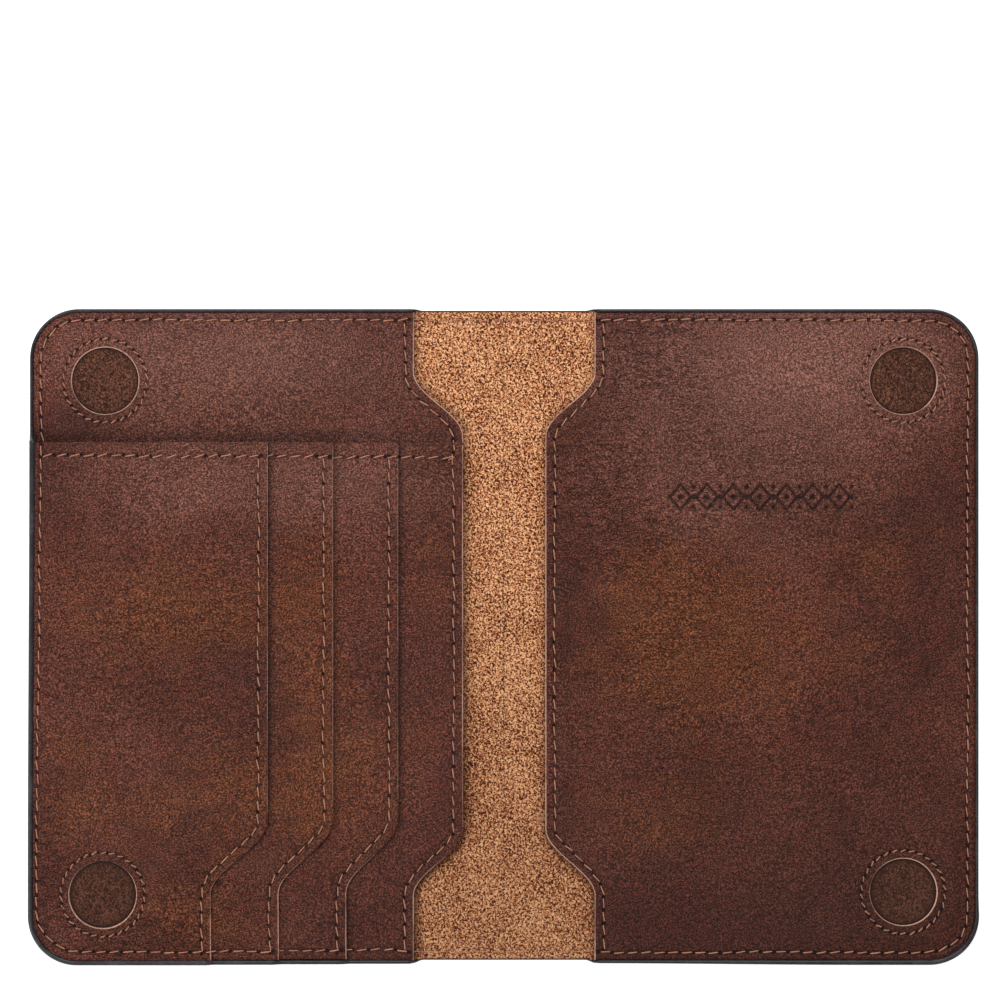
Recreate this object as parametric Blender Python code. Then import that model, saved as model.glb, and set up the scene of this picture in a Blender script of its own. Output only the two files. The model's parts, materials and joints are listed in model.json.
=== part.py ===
"""An open leather passport holder: two halves that fold up along a narrow spine.

The holder lies open and flat, inside up. X runs across it from the left half to the right half, Y runs
up its height and Z points out of the lining side. The origin is the middle of the resting underside.

The left half carries a full-height slip panel with three stepped card pockets sewn on top, and the right
half carries the passport panel. Each half holds two magnets under round windows.
"""

import math
from dataclasses import dataclass

import bmesh
import bpy
import numpy as np
from mathutils import Matrix, Vector

MM = 0.001

# ---- Driving dimensions, overall ------------------------------------------------------------------
HALF_WIDTH = 105.1 * MM  # spine centre line to the outer edge of either half
HEIGHT = 145.0 * MM  # lower edge to upper edge
CORNER_RADIUS = 11.0 * MM  # outer corners of the cover

# ---- Driving dimensions, leather ------------------------------------------------------------------
COVER_THICKNESS = 1.2 * MM
PANEL_THICKNESS = 0.9 * MM  # slip panel and passport panel
BACKING_THICKNESS = 0.7 * MM  # sheet that closes the card pockets behind
POCKET_THICKNESS = 0.6 * MM  # each card pocket front
LAYER_GAP = 0.2 * MM  # free space between two sheets lying on each other
SEAM_LAND = 3.2 * MM  # flat margin that the outer seam holds down
LOFT_REACH = 6.4 * MM  # distance from the outer edge where the full lift is reached

# ---- Driving dimensions, outlines -----------------------------------------------------------------
PANEL_MOUTH = 9.1 * MM  # free edge of both panels, from the spine centre line
PANEL_FOOT = 20.0 * MM  # the same edge where it runs out at the upper and lower end
POCKET_COUNT = 3
POCKET_PITCH = 14.3 * MM  # step from one pocket mouth to the next
POCKET_FOOT_PITCH = 14.85 * MM  # the same step at the lower end
BLOCK_MARGIN = 4.45 * MM  # upper edge of the card pockets below the stitches of the upper magnet
UPPER_STEP = (28.2 * MM, 14.0 * MM)  # free edge starts and ends its step aside, from the upper edge
LOWER_STEP = (29.9 * MM, 15.1 * MM)  # the same, from the lower edge
POCKET_STEP = (31.9 * MM, 15.8 * MM)  # the same on the card pockets

# ---- Driving dimensions, painted edge -------------------------------------------------------------
EDGE_COAT = 0.55 * MM  # thickness of the built-up edge paint
EDGE_CLEARANCE = 0.25 * MM  # between the paint and the cut edge of the sheets

# ---- Driving dimensions, magnets ------------------------------------------------------------------
MAGNET_INSET_X = 16.9 * MM  # from the outer edge to the magnet's centre
MAGNET_INSET_Y = 16.0 * MM  # from the upper or lower edge to the magnet's centre
WINDOW_RADIUS = 7.35 * MM  # round hole in the leather
WINDOW_CLEARANCE = 0.25 * MM  # round the suede disc inside its hole
DISC_THICKNESS = 0.35 * MM
DISC_RECESS = 0.25 * MM  # suede below the face of the leather
MAGNET_RADIUS = 6.0 * MM
MAGNET_THICKNESS = 0.8 * MM
PATCH_THICKNESS = 0.3 * MM  # cupped patch that carries the magnet from behind
PATCH_MARGIN = 1.0 * MM  # patch beyond its ring of stitches
GLUE_GAP = 0.1 * MM  # between the pieces of a magnet pack
RING_MARGIN = 1.9 * MM  # ring of stitches beyond the edge of its window

# ---- Driving dimensions, seams --------------------------------------------------------------------
THREAD_WIDTH = 0.4 * MM
THREAD_HEIGHT = 0.25 * MM
THREAD_LIFT = 0.1 * MM  # thread above the leather it lies on
OUTER_SEAM_INSET = 2.5 * MM
MOUTH_SEAM_INSET = 2.05 * MM
BLOCK_SEAM_INSET = 2.8 * MM
SEAM_END_GAP = 0.4 * MM  # where one line of stitches stops short of another

# ---- Driving dimensions, folding ------------------------------------------------------------------
CLOSING_CLEARANCE = 1.2 * MM  # between the two facing sides when the holder is shut
FOLD_GAP = 0.3 * MM  # the cover is divided by this much on each fold line

# ---- Fineness of the solids -----------------------------------------------------------------------
CORNER_SEGMENTS = 6
STEP_SEGMENTS = 8
ROUND_SEGMENTS = 28
SAMPLE_STEP = 0.25 * MM  # spacing of the points that a seam is first sampled at
SEAM_TOLERANCE = 0.04 * MM  # how far a seam's straight pieces may leave its true line

# ---- Derived sizes --------------------------------------------------------------------------------
HALF_HEIGHT = HEIGHT / 2
SHEET_INSET = EDGE_COAT + EDGE_CLEARANCE
PANEL_LEVEL = COVER_THICKNESS + LAYER_GAP
BACKING_LEVEL = PANEL_LEVEL + PANEL_THICKNESS + LAYER_GAP
POCKET_LEVEL = BACKING_LEVEL + BACKING_THICKNESS + LAYER_GAP
POCKET_RISE = POCKET_THICKNESS + LAYER_GAP
RING_RADIUS = WINDOW_RADIUS + RING_MARGIN
PATCH_RADIUS = RING_RADIUS + PATCH_MARGIN
PACK_DEPTH = DISC_RECESS + DISC_THICKNESS + MAGNET_THICKNESS + PATCH_THICKNESS + 2 * GLUE_GAP
LOFT = PACK_DEPTH - PANEL_THICKNESS  # sheets lift off the cover by what a magnet pack needs below them
MAGNET_X = HALF_WIDTH - MAGNET_INSET_X
MAGNET_Y = HALF_HEIGHT - MAGNET_INSET_Y
BLOCK_TOP = MAGNET_Y - RING_RADIUS - BLOCK_MARGIN
PATCH_EDGE = min(MAGNET_INSET_X, MAGNET_INSET_Y) - PATCH_RADIUS  # from the outer edge of the holder
LOFT_LEFT = max(0.0, (LOFT_REACH - PATCH_EDGE) / (LOFT_REACH - SEAM_LAND))
PATCH_DROP = LAYER_GAP + LOFT * LOFT_LEFT  # patch rim below the leather, clear of its slope
THREAD_STAND = THREAD_LIFT + THREAD_HEIGHT

LEFT = -1
RIGHT = 1


@dataclass(frozen=True)
class Sheet:
    """One leather sheet, sewn down along the outer edge of its half and free towards the spine."""

    name: str
    side: int
    level: float  # underside where the sheet is sewn down
    thickness: float
    mouth: float  # free edge from the spine centre line
    foot: float  # free edge at the lower end
    lower_step: tuple  # start and end of the step aside, from the lower edge
    top: float  # y of the upper edge
    material: str

    @property
    def face(self):
        """Height of the sheet's face where it has its full lift."""
        return self.level + self.thickness + LOFT

    @property
    def full_height(self):
        return self.top >= HALF_HEIGHT


def pocket_sheet(order):
    """The card pocket fronts, from 1, the outermost, to POCKET_COUNT, the one nearest the spine."""
    steps = POCKET_COUNT + 1 - order
    return Sheet(
        name=f"card_pocket_{order}",
        side=LEFT,
        level=POCKET_LEVEL + (steps - 1) * POCKET_RISE,
        thickness=POCKET_THICKNESS,
        mouth=PANEL_MOUTH + steps * POCKET_PITCH,
        foot=PANEL_FOOT + steps * POCKET_FOOT_PITCH,
        lower_step=POCKET_STEP,
        top=BLOCK_TOP,
        material="panel_leather",
    )


SLIP_PANEL = Sheet(
    "slip_panel", LEFT, PANEL_LEVEL, PANEL_THICKNESS, PANEL_MOUTH, PANEL_FOOT, LOWER_STEP,
    HALF_HEIGHT, "panel_leather",
)
PASSPORT_PANEL = Sheet(
    "passport_panel", RIGHT, PANEL_LEVEL, PANEL_THICKNESS, PANEL_MOUTH, PANEL_FOOT, LOWER_STEP,
    HALF_HEIGHT, "panel_leather",
)
CARD_BACKING = Sheet(
    "card_backing", LEFT, BACKING_LEVEL, BACKING_THICKNESS, PANEL_MOUTH, PANEL_FOOT, LOWER_STEP,
    BLOCK_TOP, "panel_leather",
)
POCKETS = [pocket_sheet(order) for order in range(POCKET_COUNT, 0, -1)]
SHEETS = [PASSPORT_PANEL, SLIP_PANEL, CARD_BACKING] + POCKETS
FRONT_POCKET = POCKETS[-1]

LEFT_STACK = FRONT_POCKET.face + THREAD_STAND - COVER_THICKNESS
RIGHT_STACK = PASSPORT_PANEL.face + THREAD_STAND - COVER_THICKNESS
FOLD_X = (LEFT_STACK + RIGHT_STACK + CLOSING_CLEARANCE) / 2


@dataclass(frozen=True)
class MagnetPack:
    """One magnet with its suede disc, its patch and its window, in the corner of a half."""

    name: str
    side: int
    end: int  # +1 at the upper end, -1 at the lower end
    host: Sheet

    @property
    def centre(self):
        return (self.side * MAGNET_X, self.end * MAGNET_Y)


MAGNET_PACKS = [
    MagnetPack("upper_left", LEFT, 1, SLIP_PANEL),
    MagnetPack("lower_left", LEFT, -1, FRONT_POCKET),
    MagnetPack("upper_right", RIGHT, 1, PASSPORT_PANEL),
    MagnetPack("lower_right", RIGHT, -1, PASSPORT_PANEL),
]


# ---- Materials ------------------------------------------------------------------------------------
def linear(red, green, blue):
    """An 8-bit screen colour as the linear RGBA that a shader takes."""
    return tuple(((value / 255 + 0.055) / 1.055) ** 2.4 for value in (red, green, blue)) + (1.0,)


FINISHES = {
    "cover_suede": (linear(196, 146, 104), 0.95, 0.0),
    "panel_leather": (linear(112, 68, 54), 0.55, 0.0),
    "magnet_suede": (linear(72, 44, 30), 0.95, 0.0),
    "patch_leather": (linear(150, 110, 80), 0.8, 0.0),
    "magnet_nickel": (linear(190, 190, 195), 0.3, 1.0),
    "edge_paint": (linear(66, 62, 64), 0.4, 0.0),
    "thread": (linear(206, 160, 138), 0.7, 0.0),
}


def make_material(name):
    """The Principled material of one finish, made once."""
    material = bpy.data.materials.get(name)
    if material:
        return material
    colour, roughness, metallic = FINISHES[name]
    material = bpy.data.materials.new(name)
    material.use_nodes = True
    shader = material.node_tree.nodes["Principled BSDF"]
    shader.inputs["Base Color"].default_value = colour
    shader.inputs["Roughness"].default_value = roughness
    shader.inputs["Metallic"].default_value = metallic
    return material


# ---- Scene helpers --------------------------------------------------------------------------------
def clear_scene():
    """Removes what a new file holds."""
    for obj in list(bpy.data.objects):
        bpy.data.objects.remove(obj, do_unlink=True)


def add_pivot(name, x):
    """An empty on a fold line, level with the inner face of the cover."""
    pivot = bpy.data.objects.new(name, None)
    pivot.location = (x, 0.0, COVER_THICKNESS)
    pivot.empty_display_size = 10 * MM
    bpy.context.scene.collection.objects.link(pivot)
    return pivot


def add_object(name, mesh, material_name=None, pivot=None):
    """Links a mesh as an object, dresses it and hangs it on its fold line without moving it."""
    obj = bpy.data.objects.new(name, mesh)
    bpy.context.scene.collection.objects.link(obj)
    if material_name:
        mesh.materials.append(make_material(material_name))
    if pivot:
        obj.parent = pivot
        obj.matrix_parent_inverse = Matrix.Translation(-Vector(pivot.location))
    return obj


def finish_mesh(name, bm):
    """Turns a bmesh into a mesh whose faces all point out."""
    bmesh.ops.recalc_face_normals(bm, faces=bm.faces[:])
    mesh = bpy.data.meshes.new(name)
    bm.to_mesh(mesh)
    bm.free()
    return mesh


def add_boolean(obj, cutter, operation):
    """Adds a live Boolean and puts the cutter out of the render."""
    cutter.hide_render = True
    cutter.display_type = "WIRE"
    modifier = obj.modifiers.new(cutter.name, "BOOLEAN")
    modifier.operation = operation
    modifier.object = cutter
    modifier.solver = "EXACT"


def prism(name, outline, low, high):
    """A closed prism over a flat outline, between two heights."""
    bm = bmesh.new()
    bottom = bm.faces.new([bm.verts.new((x, y, low)) for x, y in outline])
    raised = bmesh.ops.extrude_face_region(bm, geom=[bottom])["geom"]
    verts = [item for item in raised if isinstance(item, bmesh.types.BMVert)]
    bmesh.ops.translate(bm, verts=verts, vec=(0.0, 0.0, high - low))
    return finish_mesh(name, bm)


def disc(name, centre, radius, low, high):
    """A round plate between two heights."""
    bm = bmesh.new()
    bmesh.ops.create_cone(
        bm, cap_ends=True, segments=ROUND_SEGMENTS, radius1=radius, radius2=radius, depth=high - low,
        matrix=Matrix.Translation((*centre, (low + high) / 2)),
    )
    return finish_mesh(name, bm)


def turned(name, centre, profile):
    """A solid of revolution from a closed profile of radius and height, whose ends lie on its axis."""
    bm = bmesh.new()
    rim = [bm.verts.new((centre[0] + radius, centre[1], height)) for radius, height in profile]
    edges = [bm.edges.new(pair) for pair in zip(rim, rim[1:])]
    bmesh.ops.spin(
        bm, geom=rim + edges, cent=(*centre, 0.0), axis=(0.0, 0.0, 1.0), angle=2 * math.pi,
        steps=ROUND_SEGMENTS, use_merge=True,
    )
    bmesh.ops.remove_doubles(bm, verts=bm.verts[:], dist=1e-6)
    return finish_mesh(name, bm)


def strip(name, path, inner, outer, low, high, closed=False):
    """A bar of rectangular section along a path.

    The section reaches from inner to outer, measured to the left of the path, and from the low to the
    high height at each point.
    """
    ahead = np.roll(path, -1, axis=0) - path
    behind = path - np.roll(path, 1, axis=0)
    if not closed:
        ahead[-1] = behind[-1]
        behind[0] = ahead[0]
    ahead /= np.linalg.norm(ahead, axis=1)[:, None]
    behind /= np.linalg.norm(behind, axis=1)[:, None]
    along = ahead + behind
    along /= np.linalg.norm(along, axis=1)[:, None]
    mitre = 1 / np.maximum((along * ahead).sum(axis=1), 0.5)[:, None]
    sideways = np.column_stack([-along[:, 1], along[:, 0]]) * mitre
    corners = [
        np.column_stack([path + sideways * reach, height])
        for reach, height in ((inner, low), (outer, low), (outer, high), (inner, high))
    ]
    bm = bmesh.new()
    rows = [[bm.verts.new(corner[index]) for corner in corners] for index in range(len(path))]
    following = rows[1:] + rows[:1] if closed else rows[1:]
    for row, after in zip(rows, following):
        for here in range(4):
            there = (here + 1) % 4
            bm.faces.new((row[here], row[there], after[there], after[here]))
    if not closed:
        bm.faces.new(rows[0])
        bm.faces.new(rows[-1])
    return finish_mesh(name, bm)


# ---- Outlines -------------------------------------------------------------------------------------
def smooth_step(value):
    """An S-curve from 0 to 1, level at both ends."""
    value = np.clip(value, 0.0, 1.0)
    return (1 - np.cos(math.pi * value)) / 2


def mouth_distance(sheet, y):
    """How far a sheet's free edge lies from the spine centre line at a height."""
    start, end = sheet.lower_step
    share = smooth_step((start - HALF_HEIGHT - y) / (start - end))
    if sheet.full_height:
        start, end = UPPER_STEP
        share = share + smooth_step((start - HALF_HEIGHT + y) / (start - end))
    return sheet.mouth + (sheet.foot - sheet.mouth) * share


def mouth_line(sheet, bottom, top, spacing=None):
    """Points up a sheet's free edge on its own side, from one height to another."""
    if spacing:
        heights = np.linspace(bottom, top, max(2, round((top - bottom) / spacing) + 1))
    else:
        start, end = sheet.lower_step
        heights = [bottom, *np.linspace(end - HALF_HEIGHT, start - HALF_HEIGHT, STEP_SEGMENTS + 1)]
        if sheet.full_height:
            start, end = UPPER_STEP
            heights += [*np.linspace(HALF_HEIGHT - start, HALF_HEIGHT - end, STEP_SEGMENTS + 1)]
        heights = np.array(heights + [top])
    return np.column_stack([sheet.side * mouth_distance(sheet, heights), heights])


def half_outline(side, inset, inner_x, segments=CORNER_SEGMENTS):
    """The outer outline of one half moved in, from the lower spine end round to the upper spine end."""
    radius = CORNER_RADIUS - inset
    turn = np.linspace(0.0, math.pi / 2, segments + 1)
    centre_x = HALF_WIDTH - CORNER_RADIUS
    centre_y = HALF_HEIGHT - CORNER_RADIUS
    lower = np.column_stack([centre_x + radius * np.sin(turn), -centre_y - radius * np.cos(turn)])
    upper = np.column_stack([centre_x + radius * np.cos(turn), centre_y + radius * np.sin(turn)])
    first = [[inner_x, -HALF_HEIGHT + inset]]
    last = [[inner_x, HALF_HEIGHT - inset]]
    points = np.concatenate([first, lower, upper, last])
    return points * (side, 1)


def edge_distance(x, y):
    """Distance of a point from the outer edge of the holder."""
    gap_x = HALF_WIDTH - abs(x)
    gap_y = HALF_HEIGHT - abs(y)
    if gap_x < CORNER_RADIUS and gap_y < CORNER_RADIUS:
        return CORNER_RADIUS - math.hypot(CORNER_RADIUS - gap_x, CORNER_RADIUS - gap_y)
    return min(gap_x, gap_y)


def surface_height(x, y):
    """Height of the uppermost leather at a point."""
    share = (edge_distance(x, y) - SEAM_LAND) / (LOFT_REACH - SEAM_LAND)
    lift = LOFT * min(max(share, 0.0), 1.0)
    height = COVER_THICKNESS
    for sheet in SHEETS:
        on_side = x * sheet.side > 0
        if on_side and y <= sheet.top and abs(x) >= mouth_distance(sheet, y):
            height = max(height, sheet.level + sheet.thickness + lift)
    return height


# ---- Seams ----------------------------------------------------------------------------------------
def resample(points, spacing):
    """Evenly spaced points along a chain of straight pieces."""
    lengths = np.linalg.norm(np.diff(points, axis=0), axis=1)
    travelled = np.concatenate([[0.0], np.cumsum(lengths)])
    stations = np.linspace(0.0, travelled[-1], max(2, round(travelled[-1] / spacing) + 1))
    return np.column_stack([np.interp(stations, travelled, points[:, axis]) for axis in (0, 1)])


def thin_out(points, tolerance):
    """Keeps the points that a chain needs to stay within the tolerance of its first shape."""
    start, end = points[0], points[-1]
    chord = end - start
    length = np.linalg.norm(chord)
    offsets = points - start
    if length > 0:
        offsets = offsets - np.outer(offsets @ chord / length**2, chord)
    distances = np.linalg.norm(offsets, axis=1)
    worst = int(distances.argmax())
    if distances[worst] <= tolerance:
        return np.array([start, end])
    before = thin_out(points[: worst + 1], tolerance)
    return np.concatenate([before[:-1], thin_out(points[worst:], tolerance)])


def inset_line(points, side, distance):
    """A line moved away from the spine, square to itself."""
    along = np.gradient(points, axis=0)
    along /= np.linalg.norm(along, axis=1)[:, None]
    return points + np.column_stack([along[:, 1], -along[:, 0]]) * side * distance


def surface_path(points, reach):
    """Follows a line over the leather, and clears each step in the surface by the given reach."""
    points = resample(points, SAMPLE_STEP)
    heights = np.array([surface_height(x, y) for x, y in points])
    window = max(1, math.ceil(reach / SAMPLE_STEP))
    padded = np.pad(heights, window, mode="edge")
    cleared = np.max([padded[shift : shift + len(heights)] for shift in range(2 * window + 1)], axis=0)
    return thin_out(np.column_stack([points, cleared]), SEAM_TOLERANCE)


def add_seam(name, points, pivot):
    """A line of stitches as one flat bar of thread lying on the leather."""
    path = surface_path(points, THREAD_WIDTH)
    low = path[:, 2] + THREAD_LIFT
    mesh = strip(name, path[:, :2], -THREAD_WIDTH / 2, THREAD_WIDTH / 2, low, low + THREAD_HEIGHT)
    add_object(name, mesh, "thread", pivot)


def add_outer_seam(name, side, pivot):
    """The seam round the outer edge of one half, up to its fold line."""
    outline = half_outline(side, OUTER_SEAM_INSET, FOLD_X + SEAM_END_GAP, segments=4 * CORNER_SEGMENTS)
    add_seam(name, outline, pivot)


def add_mouth_seam(name, sheet, top, pivot):
    """The seam beside a sheet's free edge, between the outer seam and a given height."""
    bottom = -HALF_HEIGHT + OUTER_SEAM_INSET + THREAD_WIDTH / 2 + SEAM_END_GAP
    line = mouth_line(sheet, bottom, top, SAMPLE_STEP)
    add_seam(name, inset_line(line, sheet.side, MOUTH_SEAM_INSET), pivot)


def add_spine_seam(name, end, pivot):
    """The short stretch of the outer seam that crosses the spine at one end."""
    y = end * (HALF_HEIGHT - OUTER_SEAM_INSET)
    reach = FOLD_X - SEAM_END_GAP
    add_seam(name, np.array([[-reach, y], [reach, y]]), pivot)


def add_ring_seam(pack, pivot):
    """The ring of stitches round a magnet's window."""
    turn = np.linspace(0.0, 2 * math.pi, ROUND_SEGMENTS, endpoint=False)
    circle = np.column_stack([np.cos(turn), np.sin(turn)]) * RING_RADIUS + pack.centre
    low = np.full(len(circle), pack.host.face + THREAD_LIFT)
    name = f"ring_seam_{pack.name}"
    half = THREAD_WIDTH / 2
    mesh = strip(name, circle, -half, half, low, low + THREAD_HEIGHT, closed=True)
    add_object(name, mesh, "thread", pivot)


def add_seams(pivots):
    """All lines of stitches."""
    block_seam_y = BLOCK_TOP - BLOCK_SEAM_INSET
    pass_by = THREAD_WIDTH + SEAM_END_GAP
    full_top = HALF_HEIGHT - OUTER_SEAM_INSET - THREAD_WIDTH / 2 - SEAM_END_GAP
    add_outer_seam("outer_seam_left", LEFT, pivots[LEFT])
    add_outer_seam("outer_seam_right", RIGHT, pivots[RIGHT])
    add_spine_seam("spine_seam_upper", 1, pivots[0])
    add_spine_seam("spine_seam_lower", -1, pivots[0])
    add_mouth_seam("slip_panel_seam", SLIP_PANEL, full_top, pivots[LEFT])
    add_mouth_seam("passport_panel_seam", PASSPORT_PANEL, full_top, pivots[RIGHT])
    for pocket in POCKETS:
        add_mouth_seam(f"{pocket.name}_seam", pocket, block_seam_y - pass_by, pivots[LEFT])
    outer_x = -HALF_WIDTH + OUTER_SEAM_INSET + pass_by
    inner_x = -PANEL_MOUTH - MOUTH_SEAM_INSET - pass_by
    block_line = np.array([[outer_x, block_seam_y], [inner_x, block_seam_y]])
    add_seam("card_block_seam", block_line, pivots[LEFT])
    for pack in MAGNET_PACKS:
        add_ring_seam(pack, pivots[pack.side])


# ---- Leather --------------------------------------------------------------------------------------
def add_cover(pivots):
    """The outer cover: two rounded halves and the spine between them, divided on the fold lines."""
    inner = FOLD_X + FOLD_GAP / 2
    for side, name in ((LEFT, "outer_cover_left"), (RIGHT, "outer_cover_right")):
        outline = half_outline(side, 0.0, inner)
        add_object(name, prism(name, outline, 0.0, COVER_THICKNESS), "cover_suede", pivots[side])
    reach = FOLD_X - FOLD_GAP / 2
    outline = [(-reach, -HALF_HEIGHT), (reach, -HALF_HEIGHT), (reach, HALF_HEIGHT), (-reach, HALF_HEIGHT)]
    name = "outer_cover_spine"
    add_object(name, prism(name, outline, 0.0, COVER_THICKNESS), "cover_suede", pivots[0])


def lofted_blank(sheet):
    """A sheet before its free edge is cut.

    It is flat under the outer seam and lifts to its full height inside it. Rows of points run round the
    outline at three insets, once for the face and once for the underside.
    """
    bm = bmesh.new()
    rows = []
    for base in (sheet.level, sheet.level + sheet.thickness):
        for inset, lift in ((SHEET_INSET, 0.0), (SEAM_LAND, 0.0), (LOFT_REACH, LOFT)):
            outline = half_outline(sheet.side, inset, 0.0)
            rows.append([bm.verts.new((x, y, base + lift)) for x, y in outline])
    under, over = rows[:3], rows[3:]
    for first, second in ((under[1], under[0]), (under[2], under[1]), (over[0], over[1]), (over[1], over[2]),
                          (under[0], over[0])):
        for index in range(len(first) - 1):
            bm.faces.new((first[index], first[index + 1], second[index + 1], second[index]))
    bm.faces.new(under[2])
    bm.faces.new(over[2])
    lower_end = [row[0] for row in under] + [row[0] for row in reversed(over)]
    upper_end = [row[-1] for row in over] + [row[-1] for row in reversed(under)]
    bm.faces.new(lower_end + upper_end)
    return finish_mesh(sheet.name, bm)


def add_sheet(sheet, pivot):
    """One leather sheet: the lofted blank cut to its outline, with the holes for the magnets."""
    obj = add_object(sheet.name, lofted_blank(sheet), sheet.material, pivot)
    beyond = 5 * MM
    top = sheet.top + (beyond if sheet.full_height else 0.0)
    mouth = mouth_line(sheet, -HALF_HEIGHT - beyond, top)
    far_x = sheet.side * (HALF_WIDTH + beyond)
    outline = np.concatenate([mouth, [[far_x, top], [far_x, -HALF_HEIGHT - beyond]]])
    cut_name = f"cut_outline_{sheet.name}"
    low = sheet.level - beyond
    high = sheet.face + beyond
    add_boolean(obj, add_object(cut_name, prism(cut_name, outline, low, high)), "INTERSECT")
    for pack in MAGNET_PACKS:
        radius = hole_radius(sheet, pack)
        if radius:
            cut_name = f"cut_{pack.name}_{sheet.name}"
            cutter = add_object(cut_name, disc(cut_name, pack.centre, radius, low, high))
            add_boolean(obj, cutter, "DIFFERENCE")


def hole_radius(sheet, pack):
    """Radius of the hole that a sheet has for a magnet pack: its window, or room for the pack below."""
    if sheet is pack.host:
        return WINDOW_RADIUS
    if pack.host in POCKETS and sheet in POCKETS:
        return PATCH_RADIUS + WINDOW_CLEARANCE
    return None


def add_painted_edge(name, side, pivot):
    """The built-up edge paint round one half, as high as the sheets that it seals."""
    outline = half_outline(side, 0.0, PANEL_FOOT, segments=4 * CORNER_SEGMENTS)
    path = resample(outline, SAMPLE_STEP)
    beside = inset_line(path, side, -SHEET_INSET)
    heights = np.array([surface_height(x, y) for x, y in beside])
    heights = np.maximum(heights, PANEL_LEVEL + PANEL_THICKNESS)
    path = thin_out(np.column_stack([path, heights]), SEAM_TOLERANCE)
    low = np.full(len(path), PANEL_LEVEL)
    mesh = strip(name, path[:, :2], 0.0, side * EDGE_COAT, low, path[:, 2])
    add_object(name, mesh, "edge_paint", pivot)


# ---- Magnets --------------------------------------------------------------------------------------
def patch_profile(host, floor_top):
    """Section of the cupped patch: a floor under the magnet, a wall round it and a flat rim."""
    cup_inside = MAGNET_RADIUS + GLUE_GAP
    cup_outside = cup_inside + PATCH_THICKNESS
    rim_top = host.level + LOFT - PATCH_DROP
    rim_bottom = rim_top - PATCH_THICKNESS
    floor_bottom = floor_top - PATCH_THICKNESS
    return [
        (0.0, floor_top),
        (cup_inside, floor_top),
        (cup_inside, rim_top),
        (PATCH_RADIUS, rim_top),
        (PATCH_RADIUS, rim_bottom),
        (cup_outside, rim_bottom),
        (cup_outside, floor_bottom),
        (0.0, floor_bottom),
    ]


def add_magnet_pack(pack, pivot):
    """The suede disc in the window, the magnet under it and the patch that carries both."""
    disc_top = pack.host.face - DISC_RECESS
    disc_bottom = disc_top - DISC_THICKNESS
    magnet_top = disc_bottom - GLUE_GAP
    magnet_bottom = magnet_top - MAGNET_THICKNESS
    name = f"magnet_disc_{pack.name}"
    mesh = disc(name, pack.centre, WINDOW_RADIUS - WINDOW_CLEARANCE, disc_bottom, disc_top)
    add_object(name, mesh, "magnet_suede", pivot)
    name = f"magnet_{pack.name}"
    mesh = disc(name, pack.centre, MAGNET_RADIUS, magnet_bottom, magnet_top)
    add_object(name, mesh, "magnet_nickel", pivot)
    name = f"magnet_patch_{pack.name}"
    profile = patch_profile(pack.host, magnet_bottom - GLUE_GAP)
    add_object(name, turned(name, pack.centre, profile), "patch_leather", pivot)


def main():
    """Builds the whole holder."""
    clear_scene()
    pivots = {
        0: add_pivot("spine_pivot", 0.0),
        LEFT: add_pivot("left_fold_pivot", -FOLD_X),
        RIGHT: add_pivot("right_fold_pivot", FOLD_X),
    }
    add_cover(pivots)
    add_painted_edge("painted_edge_left", LEFT, pivots[LEFT])
    add_painted_edge("painted_edge_right", RIGHT, pivots[RIGHT])
    for sheet in SHEETS:
        add_sheet(sheet, pivots[sheet.side])
    for pack in MAGNET_PACKS:
        add_magnet_pack(pack, pivots[pack.side])
    add_seams(pivots)


main()
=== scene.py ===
"""Visual model of an open leather passport holder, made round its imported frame.

Lengths are metres. X runs across the open holder, Y up its height and Z out of the lining side.
Shapes are worked out on the right of the spine and mirrored for the left half.
"""

import json
import logging
import math
from dataclasses import dataclass, field
from enum import Enum
from typing import Callable

import bpy
import numpy as np
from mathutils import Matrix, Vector


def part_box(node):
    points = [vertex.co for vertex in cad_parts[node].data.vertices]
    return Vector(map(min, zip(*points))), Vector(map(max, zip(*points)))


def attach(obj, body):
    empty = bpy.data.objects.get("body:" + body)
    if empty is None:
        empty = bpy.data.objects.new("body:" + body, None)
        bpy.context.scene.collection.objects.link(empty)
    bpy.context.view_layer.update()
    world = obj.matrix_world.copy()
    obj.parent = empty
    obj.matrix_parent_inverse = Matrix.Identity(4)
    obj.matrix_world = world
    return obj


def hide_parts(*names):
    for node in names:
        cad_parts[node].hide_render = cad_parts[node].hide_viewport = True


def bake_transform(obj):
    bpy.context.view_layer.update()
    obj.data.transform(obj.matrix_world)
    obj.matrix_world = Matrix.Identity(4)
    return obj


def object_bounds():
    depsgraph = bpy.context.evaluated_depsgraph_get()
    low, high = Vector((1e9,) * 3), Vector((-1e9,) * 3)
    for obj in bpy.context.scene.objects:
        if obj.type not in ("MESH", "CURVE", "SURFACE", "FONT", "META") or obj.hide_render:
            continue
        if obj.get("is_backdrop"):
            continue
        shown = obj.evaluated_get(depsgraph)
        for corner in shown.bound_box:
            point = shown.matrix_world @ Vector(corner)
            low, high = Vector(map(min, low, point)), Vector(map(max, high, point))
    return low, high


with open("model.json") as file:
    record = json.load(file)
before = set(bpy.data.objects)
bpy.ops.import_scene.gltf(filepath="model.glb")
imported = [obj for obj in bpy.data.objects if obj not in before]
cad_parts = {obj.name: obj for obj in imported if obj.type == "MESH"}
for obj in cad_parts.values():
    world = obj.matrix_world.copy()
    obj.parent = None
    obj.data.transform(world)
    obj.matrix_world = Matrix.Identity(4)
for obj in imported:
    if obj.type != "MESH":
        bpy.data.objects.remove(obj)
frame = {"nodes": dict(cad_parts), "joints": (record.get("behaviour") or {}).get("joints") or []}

MM = 0.001
SAMPLE = 0.2 * MM  # spacing of the points of a line
BLOCK = 4000  # spots measured at once
Array = np.ndarray
Socket = bpy.types.NodeSocket
log = logging.getLogger("passport_holder")


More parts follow.
